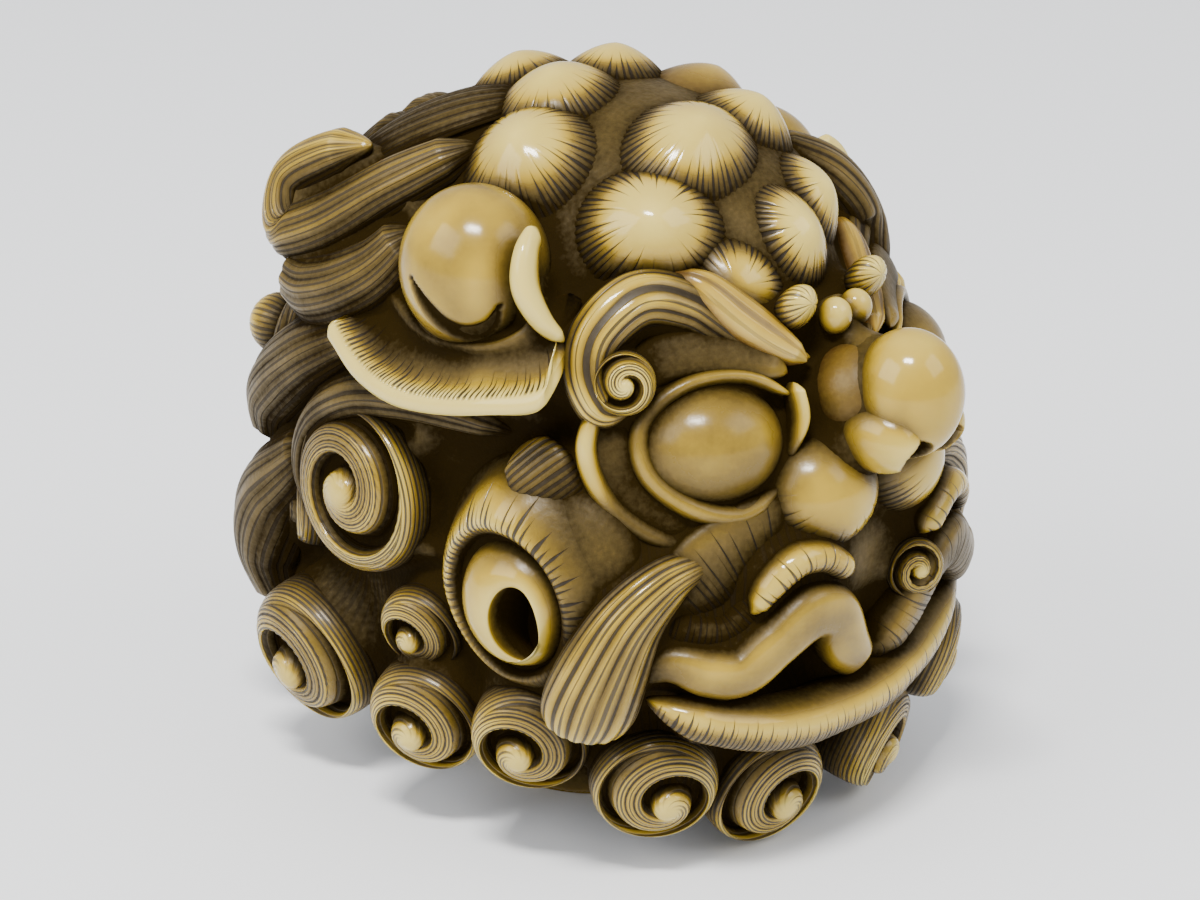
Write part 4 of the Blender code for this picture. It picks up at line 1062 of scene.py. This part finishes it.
def ivory():
    """Aged ivory: polished and pale where hands rub it, stained olive and brown in its recesses, which also
    carry painted shade.
    """
    material = bpy.data.materials.new("ivory")
    material.use_nodes = True
    nodes = Nodes(material.node_tree)
    shader = material.node_tree.nodes["Principled BSDF"]
    position = nodes.add("ShaderNodeTexCoord").outputs["Object"]
    cloud = nodes.noise(position, 330.0)
    speck = nodes.noise(position, 3200.0, detail=2.0)
    # Creases and hollows darken the tone: patina together with painted shade.
    recess_patina_and_shade = nodes.math("SUBTRACT", EVEN_CREASE, nodes.attribute("crease"))
    tone = nodes.math("MULTIPLY_ADD", recess_patina_and_shade, 1.5, nodes.attribute("polish"))
    recess_patina_and_shade = nodes.math("SUBTRACT", EVEN_HOLLOW, nodes.attribute("hollow"))
    tone = nodes.math("MULTIPLY_ADD", recess_patina_and_shade, 2.1, tone)
    tone = nodes.math("MULTIPLY_ADD", nodes.math("SUBTRACT", cloud, 0.5), 0.22, tone)
    dull = nodes.math("SUBTRACT", 1.0, tone, clamp=True)
    grain = nodes.math("MULTIPLY", nodes.math("SUBTRACT", speck, 0.5), dull)
    tone = nodes.math("MULTIPLY_ADD", grain, 0.5, tone)
    range_share = nodes.math("DIVIDE", tone, PALEST, clamp=True)
    colour = nodes.ramp(range_share, [(level / PALEST, shade) for level, shade in PATINA_AND_SHADE])
    tone = nodes.math("ADD", tone, 0.0, clamp=True)
    strokes = engraving_mask(nodes)
    colour = nodes.blend(nodes.math("MULTIPLY", nodes.attribute("stain"), cloud), colour, ORANGE)
    colour = nodes.blend(nodes.math("MULTIPLY", strokes, 0.94), colour, INK)
    nodes.join(colour, shader.inputs["Base Color"])
    rough = nodes.math("MULTIPLY_ADD", tone, -0.62, 0.75)
    rough = nodes.math("MULTIPLY_ADD", strokes, 0.25, rough, clamp=True)
    nodes.join(rough, shader.inputs["Roughness"])
    shine = nodes.math("MULTIPLY_ADD", tone, 0.40, 0.02)
    nodes.join(shine, shader.inputs["Specular IOR Level"])
    for name, value in (("Metallic", 0.0), ("IOR", 1.54), ("Subsurface Weight", 0.06),
                        ("Subsurface Radius", (1.0, 0.6, 0.3)), ("Subsurface Scale", 0.0008)):
        shader.inputs[name].default_value = value
    surface = nodes.math("MULTIPLY_ADD", strokes, -1.0, nodes.math("MULTIPLY", grain, 0.8))
    bump = nodes.add("ShaderNodeBump")
    bump.inputs["Strength"].default_value = 0.8
    bump.inputs["Distance"].default_value = 0.00007
    nodes.join(surface, bump.inputs["Height"])
    nodes.tree.links.new(bump.outputs["Normal"], shader.inputs["Normal"])
    return material


def dress_head():
    """Makes every piece, finds its recesses for the patina and painted shade, and hands it to the frame."""
    pieces, ground = carve()
    cells, low, _ = solid_cells(pieces, ground)
    fine = blurred(cells, CREASE_REACH)
    broad = blurred(cells, HOLLOW_REACH)
    material = ivory()
    for relief in pieces.values():
        points = relief.joined()[0]
        # These recess measures become patina and painted shade in the material.
        recess_patina_and_shade = (("crease", sampled(fine, low, points)), ("hollow", sampled(broad, low, points)))
        made = build_object(relief, recess_patina_and_shade, material)
        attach(made, "root")
        if relief.name == "head_core":
            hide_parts("head")


def plain_material(name, colour, roughness):
    """One even surface for the studio floor."""
    material = bpy.data.materials.new(name)
    material.use_nodes = True
    shader = material.node_tree.nodes["Principled BSDF"]
    shader.inputs["Base Color"].default_value = (*colour, 1.0)
    shader.inputs["Roughness"].default_value = roughness
    return material


def set_floor():
    """A wide pale floor under the head."""
    reach = 3.0
    mesh = bpy.data.meshes.new("studio_floor")
    mesh.from_pydata([(-reach, -reach, 0.0), (reach, -reach, 0.0), (reach, reach, 0.0), (-reach, reach, 0.0)],
                     [], [(0, 1, 2, 3)])
    mesh.materials.append(plain_material("studio_floor", (0.90, 0.91, 0.92), 0.6))
    floor = bpy.data.objects.new("studio_floor", mesh)
    bpy.context.scene.collection.objects.link(floor)


def seen_from(azimuth, elevation):
    """Direction from the head to a viewer: azimuth 0 stands on the -Y side."""
    a, e = math.radians(azimuth), math.radians(elevation)
    return Vector((math.sin(a) * math.cos(e), -math.cos(a) * math.cos(e), math.sin(e)))


def add_area(name, azimuth, elevation, distance, size, energy, colour):
    """A soft rectangular light that faces the head."""
    data = bpy.data.lights.new(name, "AREA")
    data.shape = "RECTANGLE"
    data.size, data.size_y = size
    data.energy = energy
    data.color = colour
    light = bpy.data.objects.new(name, data)
    way = seen_from(azimuth, elevation)
    light.location = Vector((0.0, 0.0, 0.02)) + way * distance
    light.rotation_euler = (-way).to_track_quat("-Z", "Y").to_euler()
    bpy.context.scene.collection.objects.link(light)


def set_lights():
    """A bright window above and to the left of the viewer, and an even pale room."""
    add_area("window", -62.0, 62.0, 0.55, (0.16, 0.07), 4.2, (1.0, 0.98, 0.95))
    add_area("left_fill", -110.0, 35.0, 0.7, (0.5, 0.4), 2.8, (0.97, 0.98, 1.0))
    add_area("right_fill", 20.0, 40.0, 0.8, (0.5, 0.4), 2.0, (1.0, 1.0, 1.0))
    world = bpy.data.worlds.new("pale_room")
    bpy.context.scene.world = world
    world.use_nodes = True
    world.node_tree.nodes["Background"].inputs["Color"].default_value = (0.93, 0.95, 1.0, 1.0)
    world.node_tree.nodes["Background"].inputs["Strength"].default_value = 0.88


def set_camera():
    """The photograph's view of the head: from its right front, a little above."""
    data = bpy.data.cameras.new("camera")
    data.lens = 100.0
    data.sensor_width = 36.0
    data.clip_start = 0.01
    camera = bpy.data.objects.new("camera", data)
    way = seen_from(-50.0, 22.0)
    target = Vector((0.0, 0.0, 18.3)) * UNIT
    camera.location = target + way * 190.5 * UNIT
    camera.rotation_euler = (-way).to_track_quat("-Z", "Y").to_euler()
    bpy.context.scene.collection.objects.link(camera)
    bpy.context.scene.camera = camera


set_camera()
set_floor()
set_lights()
dress_head()
